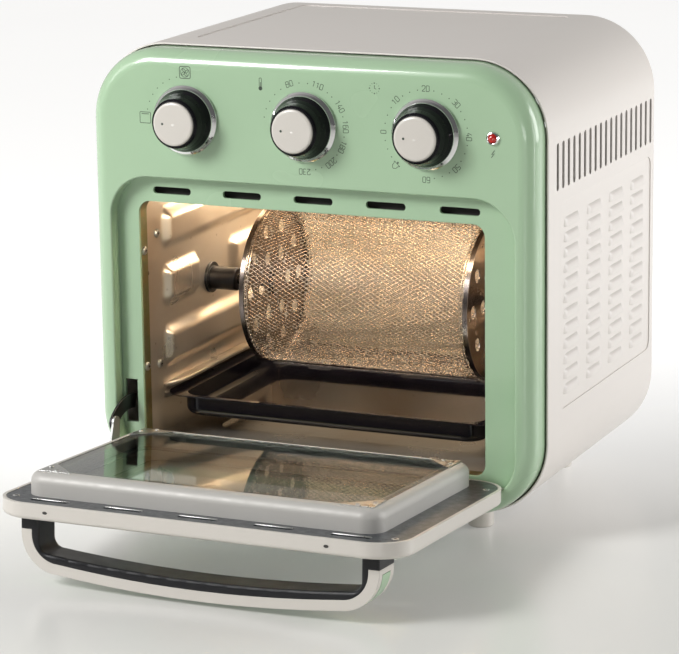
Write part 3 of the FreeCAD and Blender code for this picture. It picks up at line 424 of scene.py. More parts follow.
def dark_steel():
    return brushed_metal("dark_steel", (0.070, 0.070, 0.075), (0.030, 0.030, 0.034), 0.36,
                         (1, 1, 1), (0.30, 0.29, 0.28)).data


def black_enamel():
    """Baked enamel with the usual tiny pale flecks."""
    enamel = Finish("black_enamel", Specular_IOR_Level=0.08, Coat_Weight=0.35,
                    Coat_Roughness=0.05)
    flecks = enamel.between(enamel.cells(900), 0.7, 0.0, 0.05, 0.16)
    chosen = enamel.times(flecks, enamel.between(enamel.noise(260, 1), 0, 1, 0.55, 0.62))
    body = enamel.mixed(enamel.noise(30, 3), (0.003, 0.003, 0.005), (0.006, 0.005, 0.008))
    enamel.colour(enamel.mixed(chosen, body, (0.14, 0.13, 0.12)))
    enamel.roughness(enamel.between(enamel.noise(40, 3), 0.05, 0.10, 0.3, 0.7))
    enamel.soften(0.6)
    enamel.bump(enamel.noise(60, 2), 0.05)
    return enamel.data


def black_plastic():
    plastic = Finish("black_plastic", Specular_IOR_Level=0.40)
    plastic.colour(plastic.mixed(plastic.noise(80, 3), (0.007, 0.007, 0.009),
                                 (0.012, 0.012, 0.014)))
    plastic.roughness(plastic.between(plastic.noise(60, 3), 0.30, 0.40, 0.3, 0.7))
    plastic.soften(2.2)
    plastic.bump(plastic.noise(900, 2), 0.008)
    return plastic.data


def control_metal():
    return brushed_metal("control_metal", (0.66, 0.65, 0.60), (0.50, 0.49, 0.45), 0.36,
                         (1, 1, 1), (0.78, 0.77, 0.74)).data


def knob_chrome():
    """Chrome knob: bright flared foot, with the cone above it painted glossy black as a painted
    dark reflection of the room in front.
    """
    chrome = Finish("knob_chrome", Specular_IOR_Level=0.16)
    cone_start = (FRONT_FACE - KNOB_FOOT_DEPTH) * MM
    cone = chrome.between(chrome.axis("Y"), 1.0, 0.0, cone_start, cone_start + 0.0003)
    plated = chrome.mixed(chrome.noise(90, 3), (0.78, 0.78, 0.79), (0.90, 0.90, 0.90))
    # Painted dark reflection: the chrome cone is coloured near-black and made non-metallic to
    # stand in for the dark room it mirrors.
    painted_dark_reflection = chrome.mixed(chrome.noise(90, 3), (0.004, 0.004, 0.006), (0.008, 0.007, 0.010))
    chrome.colour(chrome.mixed(cone, plated, painted_dark_reflection))
    chrome.metallic(chrome.between(cone, 1.0, 0.0))
    chrome.roughness(chrome.between(chrome.noise(350, 3), 0.05, 0.13, 0.3, 0.7))
    chrome.bump(chrome.noise(160, 2), 0.02)
    return chrome.data


def lamp_red():
    """Faceted translucent red lens with the lamp glowing inside."""
    lens = Finish("lamp_red", Transmission_Weight=0.35, Emission_Strength=0.12,
                  Coat_Weight=0.6)
    lens.colour(lens.mixed(lens.noise(900, 2), (0.50, 0.008, 0.006), (0.78, 0.03, 0.02)))
    glow = lens.ramp(lens.cells(700), (0.0, (1.0, 0.10, 0.05)), (0.5, (0.35, 0.0, 0.0)))
    lens.join(glow, lens.shader.inputs["Emission Color"])
    lens.roughness(lens.between(lens.noise(1500, 2), 0.08, 0.2))
    lens.bump(lens.cells(900), 0.12)
    return lens.data


def plate_grey():
    """Blue-grey hammered stove paint with a metallic flake."""
    plate = Finish("plate_grey", Metallic=0.30, Coat_Weight=0.2, Coat_Roughness=0.15)
    body = plate.mixed(plate.noise(40, 4), (0.040, 0.047, 0.056), (0.055, 0.063, 0.073))
    flakes = plate.between(plate.noise(3000, 1), 0, 0.6, 0.62, 0.72)
    worn = plate.mixed(plate.edge(0.5), body, (0.42, 0.43, 0.43))
    plate.colour(plate.mixed(flakes, worn, (0.26, 0.28, 0.29)))
    plate.roughness(plate.between(plate.noise(180, 4), 0.30, 0.46, 0.3, 0.7))
    plate.soften(0.3)
    plate.bump(plate.noise(420, 2), 0.02)
    return plate.data


def pan_satin():
    """Satin silver-grey enamel of the door's inner pan."""
    pan = Finish("pan_satin", Metallic=0.12, Specular_IOR_Level=0.4)
    body = pan.mixed(pan.noise(35, 4), (0.485, 0.470, 0.445), (0.525, 0.510, 0.480))
    pan.colour(pan.mixed(pan.edge(0.8), body, (0.60, 0.60, 0.58)))
    pan.roughness(pan.between(pan.noise(130, 4), 0.42, 0.54, 0.3, 0.7))
    pan.soften(0.5)
    pan.bump(pan.noise(600, 3), 0.02)
    return pan.data


def door_glass():
    """Tempered glass with a faint green-grey tint and wipe marks."""
    glass = Finish("door_glass", Transmission_Weight=1.0, IOR=1.47)
    glass.colour(glass.mixed(glass.noise(12, 3), (0.80, 0.86, 0.82), (0.88, 0.92, 0.89)))
    smears = glass.noise(22, 5, 0.6, along=(1, 3, 3))
    glass.roughness(glass.between(smears, 0.0, 0.10, 0.45, 0.85))
    glass.bump(glass.noise(7, 2), 0.15, 0.4)
    return glass.data


def clip_steel():
    return brushed_metal("clip_steel", (0.62, 0.62, 0.60), (0.46, 0.46, 0.45), 0.30,
                         (1, 1, 1), (0.80, 0.80, 0.78)).data


def ink():
    """Screen-printed dark green ink, slightly broken at its edges."""
    print_ink = Finish("ink")
    print_ink.colour(print_ink.mixed(print_ink.noise(1500, 3), (0.030, 0.045, 0.032),
                                     (0.070, 0.092, 0.070)))
    print_ink.roughness(print_ink.between(print_ink.noise(900, 2), 0.35, 0.6))
    print_ink.bump(print_ink.noise(2600, 2), 0.01)
    return print_ink.data


def dark_gap():
    """Painted shade: dark colour standing in for the unlit inside of louvres and recesses."""
    gap = Finish("dark_gap")
    gap.colour(gap.mixed(gap.noise(200, 2), (0.035, 0.032, 0.030), (0.060, 0.055, 0.050)))
    gap.roughness(gap.between(gap.noise(200, 2), 0.6, 0.9))
    gap.bump(gap.noise(800, 2), 0.02)
    return gap.data


def floor_white():
    """Glossy white table with painted light and shade: brighter behind and to the left of the
    oven.
    """
    surface = Finish("floor_white", Coat_Weight=0.15, Coat_Roughness=0.12)
    far = surface.distance_along(-0.6, 0.8, 0)
    shade = surface.between(far, 0.0, 1.0, -0.35, 0.25)
    surface.colour(surface.mixed(shade, (0.66, 0.655, 0.62), (0.80, 0.80, 0.79)))
    surface.roughness(surface.between(surface.noise(4, 2), 0.24, 0.27, 0.3, 0.7))
    surface.bump(surface.noise(8, 1), 0.02)
    # Emission paints more light on the floor further behind and to the left.
    surface.join(surface.between(far, 0.09, 0.62, -0.08, 0.42),
                 surface.shader.inputs["Emission Strength"])
    surface.shader.inputs["Emission Color"].default_value = (1, 1, 1, 1)
    return surface.data


FINISHES = {maker.__name__: maker() for maker in (
    frame_green, casing_cream, cream_plastic, zinc_steel, cavity_steel, passivated_steel,
    element_sheath, bright_wire, basket_steel, fan_aluminium, motor_steel, dark_steel,
    black_enamel, black_plastic, control_metal, knob_chrome, lamp_red, plate_grey, pan_satin,
    door_glass, clip_steel, ink, dark_gap, floor_white)}


def finish_cad_nodes():
    """Gives each CAD node the finish that the record names for it."""
    for part in frame["record"]["subparts"]:
        node = frame["nodes"][part["node"]]
        for index in range(len(node.material_slots)):
            node.material_slots[index].material = FINISHES[part["material_slot"]]


# ---- mesh tools ---------------------------------------------------------------------------
class Pieces:
    """Collects vertices and faces of one piece, then makes the object."""

    def __init__(self):
        self.points = []
        self.faces = []
        self.finish_of_face = []

    def add(self, points, faces, finish=0):
        start = len(self.points)
        self.points += [tuple(point) for point in points]
        self.faces += [[start + index for index in face] for face in faces]
        self.finish_of_face += [finish] * len(faces)

    def make(self, name, body, finishes, smooth=False):
        mesh = bpy.data.meshes.new(name)
        mesh.from_pydata(self.points, [], self.faces)
        mesh.validate()
        for finish in finishes:
            mesh.materials.append(FINISHES[finish])
        for polygon, finish in zip(mesh.polygons, self.finish_of_face):
            polygon.material_index = finish
            polygon.use_smooth = smooth
        piece = bpy.data.objects.new(name, mesh)
        bpy.context.scene.collection.objects.link(piece)
        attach(piece, body)
        return piece


def grid_faces(rows, columns, closed_rows=False, closed_columns=False):
    """Quads of a grid of points stored row by row."""
    faces = []
    for row in range(rows if closed_rows else rows - 1):
        for column in range(columns if closed_columns else columns - 1):
            next_row = (row + 1) % rows
            next_column = (column + 1) % columns
            faces.append([row * columns + column, row * columns + next_column,
                          next_row * columns + next_column, next_row * columns + column])
    return faces


def ring_angles(count):
    return [2 * math.pi * step / count for step in range(count)]


def make_floor():
    size = 30.0
    points = [(-size, -size, 0), (size, -size, 0), (size, size, 0), (-size, size, 0)]
    mesh = bpy.data.meshes.new("floor")
    mesh.from_pydata(points, [], [[0, 1, 2, 3]])
    mesh.materials.append(FINISHES["floor_white"])
    floor = bpy.data.objects.new("floor", mesh)
    bpy.context.scene.collection.objects.link(floor)


# ---- cavity side walls --------------------------------------------------------------------
WALL_X = {-1: -141.0, 1: 132.0}
WALL_FRONT, WALL_REAR = 24.0, 236.0
WALL_LOW, WALL_HIGH = 49.0, 234.0
WALL_DEPTH_STEPS, WALL_Z_STEPS = 140, 124
WALL_SHEET = 0.8
RAIL_LIFT = 6.0
RAIL_SLOPE = 9.0               # width of the soft slope around a rail
RAIL_CORNER = 9.0
RAILS = ((46, 228, 188, 221), (46, 108, 144, 178), (160, 228, 144, 178), (46, 228, 97, 131))
LEDGE_SECTIONS = ((46.0, 0.02), (49.0, 0.30), (54.0, 0.62), (62.0, 0.88), (74.0, 1.0),
                  (234.0, 1.0))       # depth, and share of the full reach there
LEDGES = ((75.2, 79.2), (83.2, 86.2))
DRIVE_HOLE_R = 6.0


def smooth_step(value):
    value = min(max(value, 0.0), 1.0)
    return value * value * (3 - 2 * value)


def rail_height(depth, z):
    """How far the sheet is pressed into the cavity at this place."""
    height = 0.0
    for depth0, depth1, z0, z1 in RAILS:
        over_depth = max(depth0 + RAIL_CORNER - depth, depth - depth1 + RAIL_CORNER, 0.0)
        over_z = max(z0 + RAIL_CORNER - z, z - z1 + RAIL_CORNER, 0.0)
        inside = RAIL_CORNER - math.hypot(over_depth, over_z)
        height = max(height, RAIL_LIFT * smooth_step(inside / RAIL_SLOPE))
    return height


def cut_drive_hole(places, faces):
    """Drops the faces over the drive shaft and draws the points around it into a circle."""
    hub = Vector((BASKET_DEPTH, BASKET_Z))
    kept = []
    loose_points = set()
    for face in faces:
        middle = sum((Vector(places[index]) for index in face), Vector((0, 0))) / 4
        if (middle - hub).length < DRIVE_HOLE_R:
            loose_points.update(face)
        else:
            kept.append(face)
    for index in loose_points:
        spoke = Vector(places[index]) - hub
        if spoke.length > DRIVE_HOLE_R * 0.5:
            places[index] = tuple(hub + spoke.normalized() * DRIVE_HOLE_R)
    return kept


def add_ledge(pieces, side, low, high):
    """Folded ledge along the wall, running out softly towards the front."""
    profile = ((-0.4, low), (7.4, low), (8.0, low + 0.6), (8.0, high - 0.6), (7.4, high),
               (-0.4, high))
    points = [spot(WALL_X[side] - side * max(reach * share, -0.4), depth, z)
              for depth, share in LEDGE_SECTIONS for reach, z in profile]
    corners = len(profile)
    last = corners * (len(LEDGE_SECTIONS) - 1)
    pieces.add(points, grid_faces(len(LEDGE_SECTIONS), corners, closed_columns=True)
               + [list(range(corners)), list(range(last, last + corners))])


def pressed_wall(side, name):
    """Liner sheet with softly pressed rails; the right one has the drive shaft's hole."""
    depths = [WALL_FRONT + (WALL_REAR - WALL_FRONT) * step / WALL_DEPTH_STEPS
              for step in range(WALL_DEPTH_STEPS + 1)]
    heights = [WALL_LOW + (WALL_HIGH - WALL_LOW) * step / WALL_Z_STEPS
               for step in range(WALL_Z_STEPS + 1)]
    places = [(depth, z) for depth in depths for z in heights]
    faces = grid_faces(len(depths), len(heights))
    if side > 0:
        faces = cut_drive_hole(places, faces)
    front = [spot(WALL_X[side] - side * rail_height(depth, z), depth, z) for depth, z in places]
    back = [spot(WALL_X[side] - side * (rail_height(depth, z) - WALL_SHEET), depth, z)
            for depth, z in places]
    pieces = Pieces()
    pieces.add(front, faces)
    pieces.add(back, [face[::-1] for face in faces])
    for low, high in LEDGES:
        add_ledge(pieces, side, low, high)
    wall = pieces.make("pressed_wall_" + name, "oven", ["cavity_steel"],
                       smooth=True)
    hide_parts("cavity_" + name + "_wall")


# ---- rotating basket ----------------------------------------------------------------------
STRANDS = 116                  # wires in each of the two directions
WIRE_R = 0.25
MESH_R = 58.9
BASKET_X0, BASKET_X1 = -88.5, 95.0
RIM_BAND = 3.5
MESH_X0, MESH_X1 = BASKET_X0 + 2.5, BASKET_X1 - 2.5
MESH_SLOPE = 0.58              # tangent of the angle between a wire and the spit
WIRE_STEPS = 36                # pieces along each wire
HOOP_R = 0.55                  # hoop that the wires are crimped to beside each rim
HOOP_TIES = 110
HOOP_TIE_R = 0.42


def wire_tube(pieces, centres, frames, radius, corners=5, closed=False):
    """Thin tube along centres; frames are the two directions across it at each point."""
    rows = []
    for centre, (first, second) in zip(centres, frames):
        for turn in ring_angles(corners):
            point = centre + radius * (first * math.cos(turn) + second * math.sin(turn))
            rows.append(spot(*point))
    pieces.add(rows, grid_faces(len(centres), corners, closed_rows=closed, closed_columns=True))


def basket_frame(x, angle):
    """Point of the spit's line at x, and the outward and around directions at this angle."""
    return (Vector((x, BASKET_DEPTH, BASKET_Z)), Vector((0, math.cos(angle), math.sin(angle))),
            Vector((0, -math.sin(angle), math.cos(angle))))


def basket_wires():
    """Two crossing layers of helical wires that touch where they cross."""
    pieces = Pieces()
    turn_per_mm = MESH_SLOPE / MESH_R
    for direction in (-1, 1):
        radius = MESH_R + direction * WIRE_R * 0.85
        for start in ring_angles(STRANDS):
            centres, frames = [], []
            for step in range(WIRE_STEPS + 1):
                x = MESH_X0 + (MESH_X1 - MESH_X0) * step / WIRE_STEPS
                angle = start + direction * turn_per_mm * (x - MESH_X0)
                axis_point, outward, around_spit = basket_frame(x, angle)
                along = (Vector((1, 0, 0)) + around_spit * direction * MESH_SLOPE).normalized()
                centres.append(axis_point + outward * radius)
                frames.append((outward, along.cross(outward)))
            wire_tube(pieces, centres, frames, WIRE_R)
    wires = pieces.make("basket_wires", "basket", ["bright_wire"], smooth=True)
    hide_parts("basket_mesh")


def add_hoop(pieces, x):
    centres, frames = [], []
    for angle in ring_angles(120):
        axis_point, outward, _ = basket_frame(x, angle)
        centres.append(axis_point + outward * (MESH_R + 0.75))
        frames.append((outward, Vector((1, 0, 0))))
    wire_tube(pieces, centres, frames, HOOP_R, corners=8, closed=True)


def basket_hoops():
    """Two bright hoops beside each rim band, with the short ties between them."""
    pieces = Pieces()
    for end, inward in ((BASKET_X0, 1), (BASKET_X1, -1)):
        places = [end + inward * (RIM_BAND + 0.7), end + inward * (RIM_BAND + 2.7)]
        for x in places:
            add_hoop(pieces, x)
        for angle in ring_angles(HOOP_TIES):
            centres = []
            for x in places:
                axis_point, outward, around_spit = basket_frame(x, angle)
                centres.append(axis_point + outward * (MESH_R + 0.8))
            wire_tube(pieces, centres, [(outward, around_spit)] * 2, HOOP_TIE_R)
    pieces.make("basket_hoops", "basket", ["bright_wire"], smooth=True)


# ---- air slots ----------------------------------------------------------------------------
AIR_SLOT_PITCH = 56.4
AIR_SLOT_Z = 241.7
AIR_SLOT_COLUMNS = (-2, -1, 0, 1, 2)
SLOT_LIP_S, SLOT_LIP_N = 191.0, 4.85
SLOT_LIP_SECTIONS = ((-14.6, 0.05), (-14.2, 0.6), (-13.4, 1.0), (13.4, 1.0), (14.2, 0.6),
                     (14.6, 0.05))     # x along the slot, and share of the full swell there


def slot_shade_strip():
    """Folded dark strip behind the slots above the cavity mouth: painted shade, so the slots read
    black.
    """
    pieces = Pieces()
    profile = ((14.1, -5.2), (15.6, -4.6), (20.0, -4.6), (21.5, 0.0), (20.0, 4.6), (15.6, 4.6),
               (14.1, 5.2), (14.1, 6.0), (16.0, 5.4), (20.6, 5.4), (22.3, 0.0), (20.6, -5.4),
               (16.0, -5.4), (14.1, -6.0))
    corners = len(profile)
    points = [spot(x, depth, AIR_SLOT_Z + lift) for x in (-134.0, 134.0)
              for depth, lift in profile]
    pieces.add(points, grid_faces(2, corners, closed_columns=True)
               + [list(range(corners)), list(range(corners, 2 * corners))])
    pieces.make("slot_shade_strip", "oven", ["dark_gap"])


def slot_lips():
    """Bright rolled lip along each slot in the door's flange plate."""
    pieces = Pieces()
    corners = 8
    for column in AIR_SLOT_COLUMNS:
        rows = []
        for x, swell in SLOT_LIP_SECTIONS:
            for turn in ring_angles(corners):
                s = SLOT_LIP_S + 0.8 * swell * math.cos(turn)
                n = SLOT_LIP_N + 0.6 * swell * math.sin(turn)
                rows.append(on_door(column * AIR_SLOT_PITCH + x, s, n))
        pieces.add(rows, grid_faces(len(SLOT_LIP_SECTIONS), corners, closed_columns=True))
    pieces.make("slot_lips", "door", ["clip_steel"], smooth=True)


# ---- side louvres -------------------------------------------------------------------------
LOUVRE_FIRST_DEPTH = 71.0
LOUVRE_PITCH_DEPTH = 49.3
LOUVRE_TOP_Z = 226.5
LOUVRE_PITCH_Z = 11.1
LOUVRE_LENGTH = 32.0
LOUVRE_HEIGHT = 6.6
LOUVRE_DEPTH = 2.4
LOUVRE_ROOT_X = 174.3 - 0.15   # just inside the face of the pressed side panel
LOUVRE_COLUMNS, LOUVRE_ROWS = 4, 12


def louvre(pieces, side, depth, z):
    """Hood pressed out of the sheet, open along its lower edge."""
    across, upward = 17, 7
    places = [2 * column / (across - 1) - 1 for column in range(across)]
    bulges = [(1 - abs(u) ** 5) ** 0.5 for u in places]
    outer = []
    for row in range(upward):
        v = row / (upward - 1)
        rise = math.sqrt(max(0.0, 1 - v ** 2.2)) if row else 1.0
        for u, bulge in zip(places, bulges):
            x = side * (LOUVRE_ROOT_X + LOUVRE_DEPTH * rise * bulge)
            outer.append(spot(x, depth + u * LOUVRE_LENGTH / 2 * (1 - 0.10 * v),
                              z + v * LOUVRE_HEIGHT))
    pieces.add(outer, grid_faces(upward, across))
    lip = []
    for inset, lift in ((0.0, 0.0), (0.5, 0.0), (0.5, 0.6)):
        for u, bulge in zip(places, bulges):
            reach = max(LOUVRE_DEPTH * bulge - inset, 0.0)
            lip.append(spot(side * (LOUVRE_ROOT_X + reach), depth + u * LOUVRE_LENGTH / 2,
                            z + lift))
    pieces.add(lip, grid_faces(3, across))
    # The throat closes the lower edge with dark_gap faces: painted shade for the open slit.
    throat = lip[2 * across:]
    throat += [spot(side * LOUVRE_ROOT_X, depth + u * LOUVRE_LENGTH / 2, z + 0.6)
               for u in places]
    pieces.add(throat, grid_faces(2, across), finish=1)


def side_louvres():
    for side, name in ((-1, "left"), (1, "right")):
        pieces = Pieces()
        for column in range(LOUVRE_COLUMNS):
            for row in range(LOUVRE_ROWS):
                louvre(pieces, side, LOUVRE_FIRST_DEPTH + column * LOUVRE_PITCH_DEPTH,
                       LOUVRE_TOP_Z - row * LOUVRE_PITCH_Z)
        pieces.make("louvres_" + name, "oven", ["casing_cream", "dark_gap"],
                    smooth=True)


# ---- printing on the control panel --------------------------------------------------------
INK_LIFT = 0.04                # how far the print stands in front of the panel
DIGITS = {
    "0": [[(0, 0), (0.56, 0), (0.56, 1), (0, 1), (0, 0)]],
    "1": [[(0.08, 0.78), (0.32, 1), (0.32, 0)]],
    "2": [[(0, 0.74), (0, 1), (0.56, 1), (0.56, 0.56), (0, 0.06), (0, 0), (0.56, 0)]],
    "3": [[(0, 1), (0.56, 1), (0.56, 0), (0, 0)], [(0.18, 0.53), (0.56, 0.53)]],
    "4": [[(0.34, 1), (0, 0.28), (0.6, 0.28)], [(0.44, 0.52), (0.44, 0)]],
    "5": [[(0.56, 1), (0, 1), (0, 0.56), (0.56, 0.56), (0.56, 0), (0, 0)]],
    "6": [[(0.5, 1), (0, 1), (0, 0), (0.56, 0), (0.56, 0.58), (0, 0.58)]],
    "8": [[(0, 0), (0.56, 0), (0.56, 1), (0, 1), (0, 0)], [(0, 0.54), (0.56, 0.54)]],
}
DIGIT_STEP = 0.78
DIGIT_HEIGHT = 4.0
NUMBER_RING_R = 32.2
DOT_RING_R = 31.4
DOT_R = 0.42


def rounded_path(points, radius):
    """Path with each inner corner turned into a short curve."""
    path = [Vector(points[0])]
    for before, corner, after in zip(points, points[1:], points[2:]):
        before, corner, after = Vector(before), Vector(corner), Vector(after)
        reach = min(radius, (before - corner).length * 0.45, (after - corner).length * 0.45)
        start = corner + (before - corner).normalized() * reach
        end = corner + (after - corner).normalized() * reach
        for step in range(5):
            t = step / 4
            path.append(start * (1 - t) ** 2 + corner * 2 * t * (1 - t) + end * t * t)
    path.append(Vector(points[-1]))
    return path


class Printer:
    """Draws flat ink strokes on the panel around a centre, with a turn."""

    def __init__(self, pieces, x, z, turn=0.0):
        self.pieces = pieces
        self.centre = Vector((x, z))
        self.turn = Matrix.Rotation(-turn, 2)

    def put(self, points, faces):
        placed = []
        for point in points:
            flat = self.centre + self.turn @ Vector(point)
            placed.append(spot(flat.x, -INK_LIFT, flat.y))
        self.pieces.add(placed, faces)

    def stroke(self, points, width=0.42, radius=0.0):
        path = rounded_path(points, radius) if radius and len(points) > 2 else \
            [Vector(point) for point in points]
        sides = []
        for index, point in enumerate(path):
            before = path[max(index - 1, 0)]
            after = path[min(index + 1, len(path) - 1)]
            along = (after - before).normalized()
            across = Vector((-along.y, along.x)) * width / 2
            sides += [point - across, point + across]
        self.put(sides, grid_faces(len(path), 2))

    def disc(self, u, v, radius):
        corners = [(u + radius * math.cos(math.radians(30 * step)),
                    v + radius * math.sin(math.radians(30 * step))) for step in range(12)]
        self.put(corners, [list(range(12))])

    def loop(self, u, v, radius_u, radius_v, width):
        steps = 24
        points = []
        for step in range(steps + 1):
            angle = math.radians(360 * step / steps)
            points.append((u + radius_u * math.cos(angle), v + radius_v * math.sin(angle)))
        self.stroke(points, width)

    def word(self, text, size):
        width = (DIGIT_STEP * (len(text) - 1) + 0.56) * size
        for index, letter in enumerate(text):
            left = -width / 2 + index * DIGIT_STEP * size
            for line in DIGITS[letter]:
                points = [(left + x * size, (y - 0.5) * size) for x, y in line]
                self.stroke(points, 0.42, 0.16 * size)


def around(x, angle, radius):
    """Place on a ring around a knob; angle is clockwise from the top, in degrees."""
    turn = math.radians(angle)
    return x + radius * math.sin(turn), PANEL_Z + radius * math.cos(turn)


def scale_numbers(pieces, x, numbers):
    for text, angle in numbers:
        u, v = around(x, angle, NUMBER_RING_R)
        Printer(pieces, u, v, math.radians(angle)).word(text, DIGIT_HEIGHT)


def scale_dots(pieces, x, angles):
    for angle in angles:
        u, v = around(x, angle, DOT_RING_R)
        Printer(pieces, u, v).disc(0, 0, DOT_R)


def fan_icon(pieces, x, z):
    icon = Printer(pieces, x, z)
    icon.stroke([(-4.3, 0), (-4.3, 4.3), (4.3, 4.3), (4.3, -4.3), (-4.3, -4.3), (-4.3, 0)],
                0.5, 1.4)
    icon.loop(0, 0, 3.4, 3.4, 0.35)
    for blade in range(4):
        turned = Printer(pieces, x, z, math.radians(45 + 90 * blade))
        turned.loop(0.5, 1.6, 0.8, 1.5, 0.4)
    icon.disc(0, 0, 0.6)


def oven_icon(pieces, x, z):
    icon = Printer(pieces, x, z)
    icon.stroke([(-4.3, 0), (-4.3, 4), (4.3, 4), (4.3, -4), (-4.3, -4), (-4.3, 0)], 0.45, 0.8)
    icon.stroke([(-2.9, 2.7), (2.9, 2.7)], 0.5)


def thermometer_icon(pieces, x, z):
    icon = Printer(pieces, x, z)
    icon.stroke([(-0.9, -1.8), (-0.9, 4.6), (0.9, 4.6), (0.9, -1.8)], 0.4, 0.8)
    icon.disc(0, -2.9, 1.5)
    icon.stroke([(0, -2.5), (0, 1.5)], 0.5)


def clock_icon(pieces, x, z):
    icon = Printer(pieces, x, z)
    for hour in range(12):
        angle = math.radians(30 * hour)
        radius = 0.5 if hour % 3 == 0 else 0.28
        icon.disc(3.7 * math.sin(angle), 3.7 * math.cos(angle), radius)
    icon.stroke([(0, 2.2), (0, 0), (1.4, -0.5)], 0.45)


def bell_icon(pieces, x, z, turn):
    icon = Printer(pieces, x, z, turn)
    icon.stroke([(-3, -1.8), (-1.9, -0.8), (-1.9, 1.2), (0, 3), (1.9, 1.2), (1.9, -0.8),
                 (3, -1.8), (-3, -1.8)], 0.42, 0.9)
    icon.disc(0, -2.8, 0.7)


def panel_printing():
    pieces = Pieces()
    selector, thermostat, timer = KNOB_X.values()
    fan_icon(pieces, *around(selector, 0, 34.4))
    oven_icon(pieces, *around(selector, -90, 32.8))
    scale_dots(pieces, selector, [-78.5 + 11 * step for step in range(7)])
    scale_numbers(pieces, thermostat, (("80", -20), ("110", 20), ("140", 60), ("160", 86.7),
                                       ("180", 113.3), ("200", 140), ("230", 180)))
    scale_dots(pieces, thermostat, (-80, -68.5, -57, -45.5, -34, -6, 6, 36, 44, 73.5, 100,
                                    126.5, 155, 164))
    scale_numbers(pieces, timer, ((str(10 * step), 45 * step - 90) for step in range(7)))
    scale_dots(pieces, timer, [45 * step - 90 + 11.25 * dot for step in range(-1, 6)
                               for dot in (1, 2, 3)])
    thermometer_icon(pieces, thermostat - 33.5, PANEL_Z + 28.8)
    clock_icon(pieces, timer - 38.7, PANEL_Z + 30.4)
    bell_icon(pieces, *around(timer, -135, 33), math.radians(-135))
    bolt = Printer(pieces, LAMP_X, PANEL_Z - 11)
    bolt.stroke([(1.2, 2.6), (-1.0, -0.4), (1.0, 0.4), (-1.2, -2.6)], 0.5)
    pieces.make("panel_printing", "oven", ["ink"])


# ---- knobs --------------------------------------------------------------------------------
KNOB_OF_BODY = {"selector": "selector", "thermostat_control": "thermostat",
                "timer_control": "timer"}
CAP_RING_PROFILE = ((15.85, 18.3), (16.55, 18.3), (16.6, 19.9), (16.45, 20.3), (16.1, 20.4),
                    (15.9, 20.2))
POINTER_PROFILE = ((0.02, 21.93), (0.55, 21.95), (0.75, 22.0), (0.9, 21.93), (0.9, 21.7),
                   (0.02, 21.7))
POINTER_OFFSET = 8.2


def lathe_on_panel(pieces, x, z, profile, steps):
    """Ring turned about an axis that points out of the panel; profile is (radius, standing)."""
    points = [spot(x + radius * math.cos(angle), -standing, z + radius * math.sin(angle))
              for angle in ring_angles(steps) for radius, standing in profile]
    pieces.add(points, grid_faces(steps, len(profile), closed_rows=True, closed_columns=True))


def knob_details():
    """Black ring around each cap and the small pointer dimple in it."""
    for body, knob in KNOB_OF_BODY.items():
        x = KNOB_X[knob]
        ring = Pieces()
        lathe_on_panel(ring, x, PANEL_Z, CAP_RING_PROFILE, steps=64)
        ring.make(body + "_ring", body, ["black_plastic"], smooth=True)
        dimple = Pieces()
        lathe_on_panel(dimple, x - POINTER_OFFSET, PANEL_Z, POINTER_PROFILE, steps=24)
        dimple.make(body + "_pointer", body, ["ink"], smooth=True)


# ---- screw recesses -----------------------------------------------------------------------
REAR_DEPTH = 262.0
REAR_SCREWS = ((-150, 300), (0, 338), (150, 300), (-165, 185), (165, 185), (-150, 60), (0, 32),
               (150, 60))               # x and z
# depth and z, then x of the left and of the right sheet that the screw goes through
CAVITY_SCREWS = ((17.6, 194, -140.4, 131.5), (17.6, 106, -140.4, 131.5),
                 (39.3, 203, -141.0, 132.0), (39.3, 103, -141.0, 132.0))
DOOR_SCREWS = ((-142, 187), (142, 187), (-141, 17), (143.5, 24))     # x and s
DOOR_SCREW_TOP_N = 5.2
CAVITY_SCREW_HEAD = 2.0
RECESS_REACH, RECESS_WIDTH = 1.5, 0.42
EDGE_HOLE_X = (-109.0, 101.0)
EDGE_HOLE_N = -0.4
EDGE_HOLE_RIM = ((1.0, 206.62), (0.82, 206.70), (0.72, 206.55))      # share of the size, and s


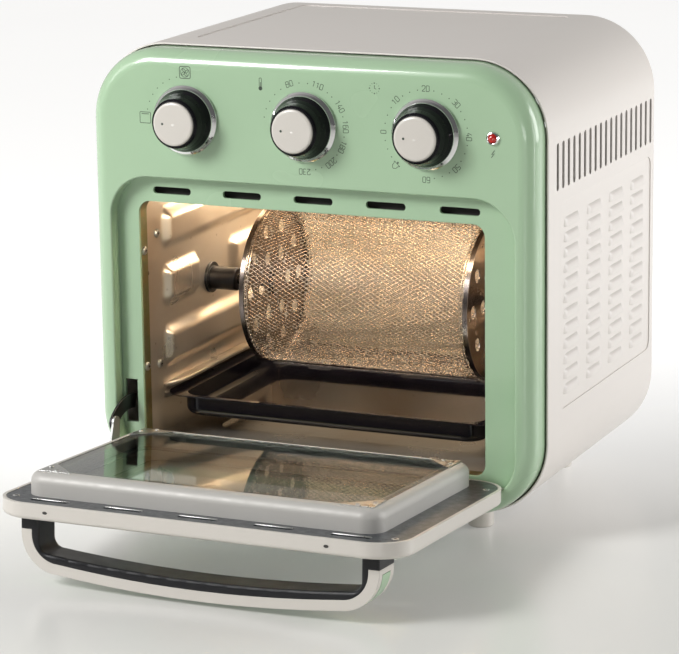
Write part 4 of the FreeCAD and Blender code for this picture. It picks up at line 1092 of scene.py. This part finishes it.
def cross_recess(pieces, centre, out, first, second):
    """Dark cross in a screw head, painted shade for the recess; out points away from the head."""
    for along, across in ((first, second), (second, first)):
        corners = []
        for end in (-1, 1):
            for edge in (-1, 1):
                for taper, height in ((1.0, 0.0), (0.55, 0.05)):
                    lengthwise = along * RECESS_REACH * end * (1 - 0.1 * height)
                    sideways = across * RECESS_WIDTH * edge * taper
                    corners.append(centre + MM * (lengthwise + sideways + out * height))
        pieces.add(corners, [[0, 2, 3, 1], [4, 5, 7, 6], [1, 3, 7, 5], [0, 1, 5, 4],
                             [2, 6, 7, 3]])


def screw_recesses():
    right, up, back = Vector((1, 0, 0)), Vector((0, 0, 1)), Vector((0, 1, 0))
    oven = Pieces()
    for x, z in REAR_SCREWS:
        cross_recess(oven, spot(x, REAR_DEPTH, z), back, right, up)
    for depth, z, left_x, right_x in CAVITY_SCREWS:
        cross_recess(oven, spot(left_x + CAVITY_SCREW_HEAD, depth, z), right, back, up)
        cross_recess(oven, spot(right_x - CAVITY_SCREW_HEAD, depth, z), -right, back, up)
    oven.make("oven_screw_recesses", "oven", ["dark_gap"])
    door = Pieces()
    outward = Vector((0, -math.cos(DOOR_TILT), math.sin(DOOR_TILT)))
    off = Vector((0, math.sin(DOOR_TILT), math.cos(DOOR_TILT)))
    for x, s in DOOR_SCREWS:
        cross_recess(door, on_door(x, s, DOOR_SCREW_TOP_N), off, right, outward)
    door.make("door_screw_recesses", "door", ["dark_gap"])


def oval_on_edge(x, half_x, half_n, s, corners):
    """Oval on the door's free edge, at distance s from the hinge."""
    return [on_door(x + half_x * math.cos(turn), s, EDGE_HOLE_N + half_n * math.sin(turn))
            for turn in ring_angles(corners)]


def edge_holes():
    """Two small oval holes in the door's free edge."""
    pieces = Pieces()
    corners = 20
    for x in EDGE_HOLE_X:
        rows = []
        for share, s in EDGE_HOLE_RIM:
            rows += oval_on_edge(x, 2.6 * share, 1.5 * share, s, corners)
        pieces.add(rows, grid_faces(len(EDGE_HOLE_RIM), corners, closed_columns=True))
        # The bottom of each hole is a dark disc: painted shade.
        pieces.add(oval_on_edge(x, 1.9, 1.1, 206.56, corners), [list(range(corners))], finish=1)
    pieces.make("edge_holes", "door", ["cream_plastic", "dark_gap"], smooth=True)


make_camera()
make_world()
make_lights()
make_floor()
finish_cad_nodes()
pressed_wall(-1, "left")
pressed_wall(1, "right")
basket_wires()
basket_hoops()
slot_shade_strip()
slot_lips()
side_louvres()
panel_printing()
knob_details()
screw_recesses()
edge_holes()
bpy.context.scene.view_settings.view_transform = "Standard"
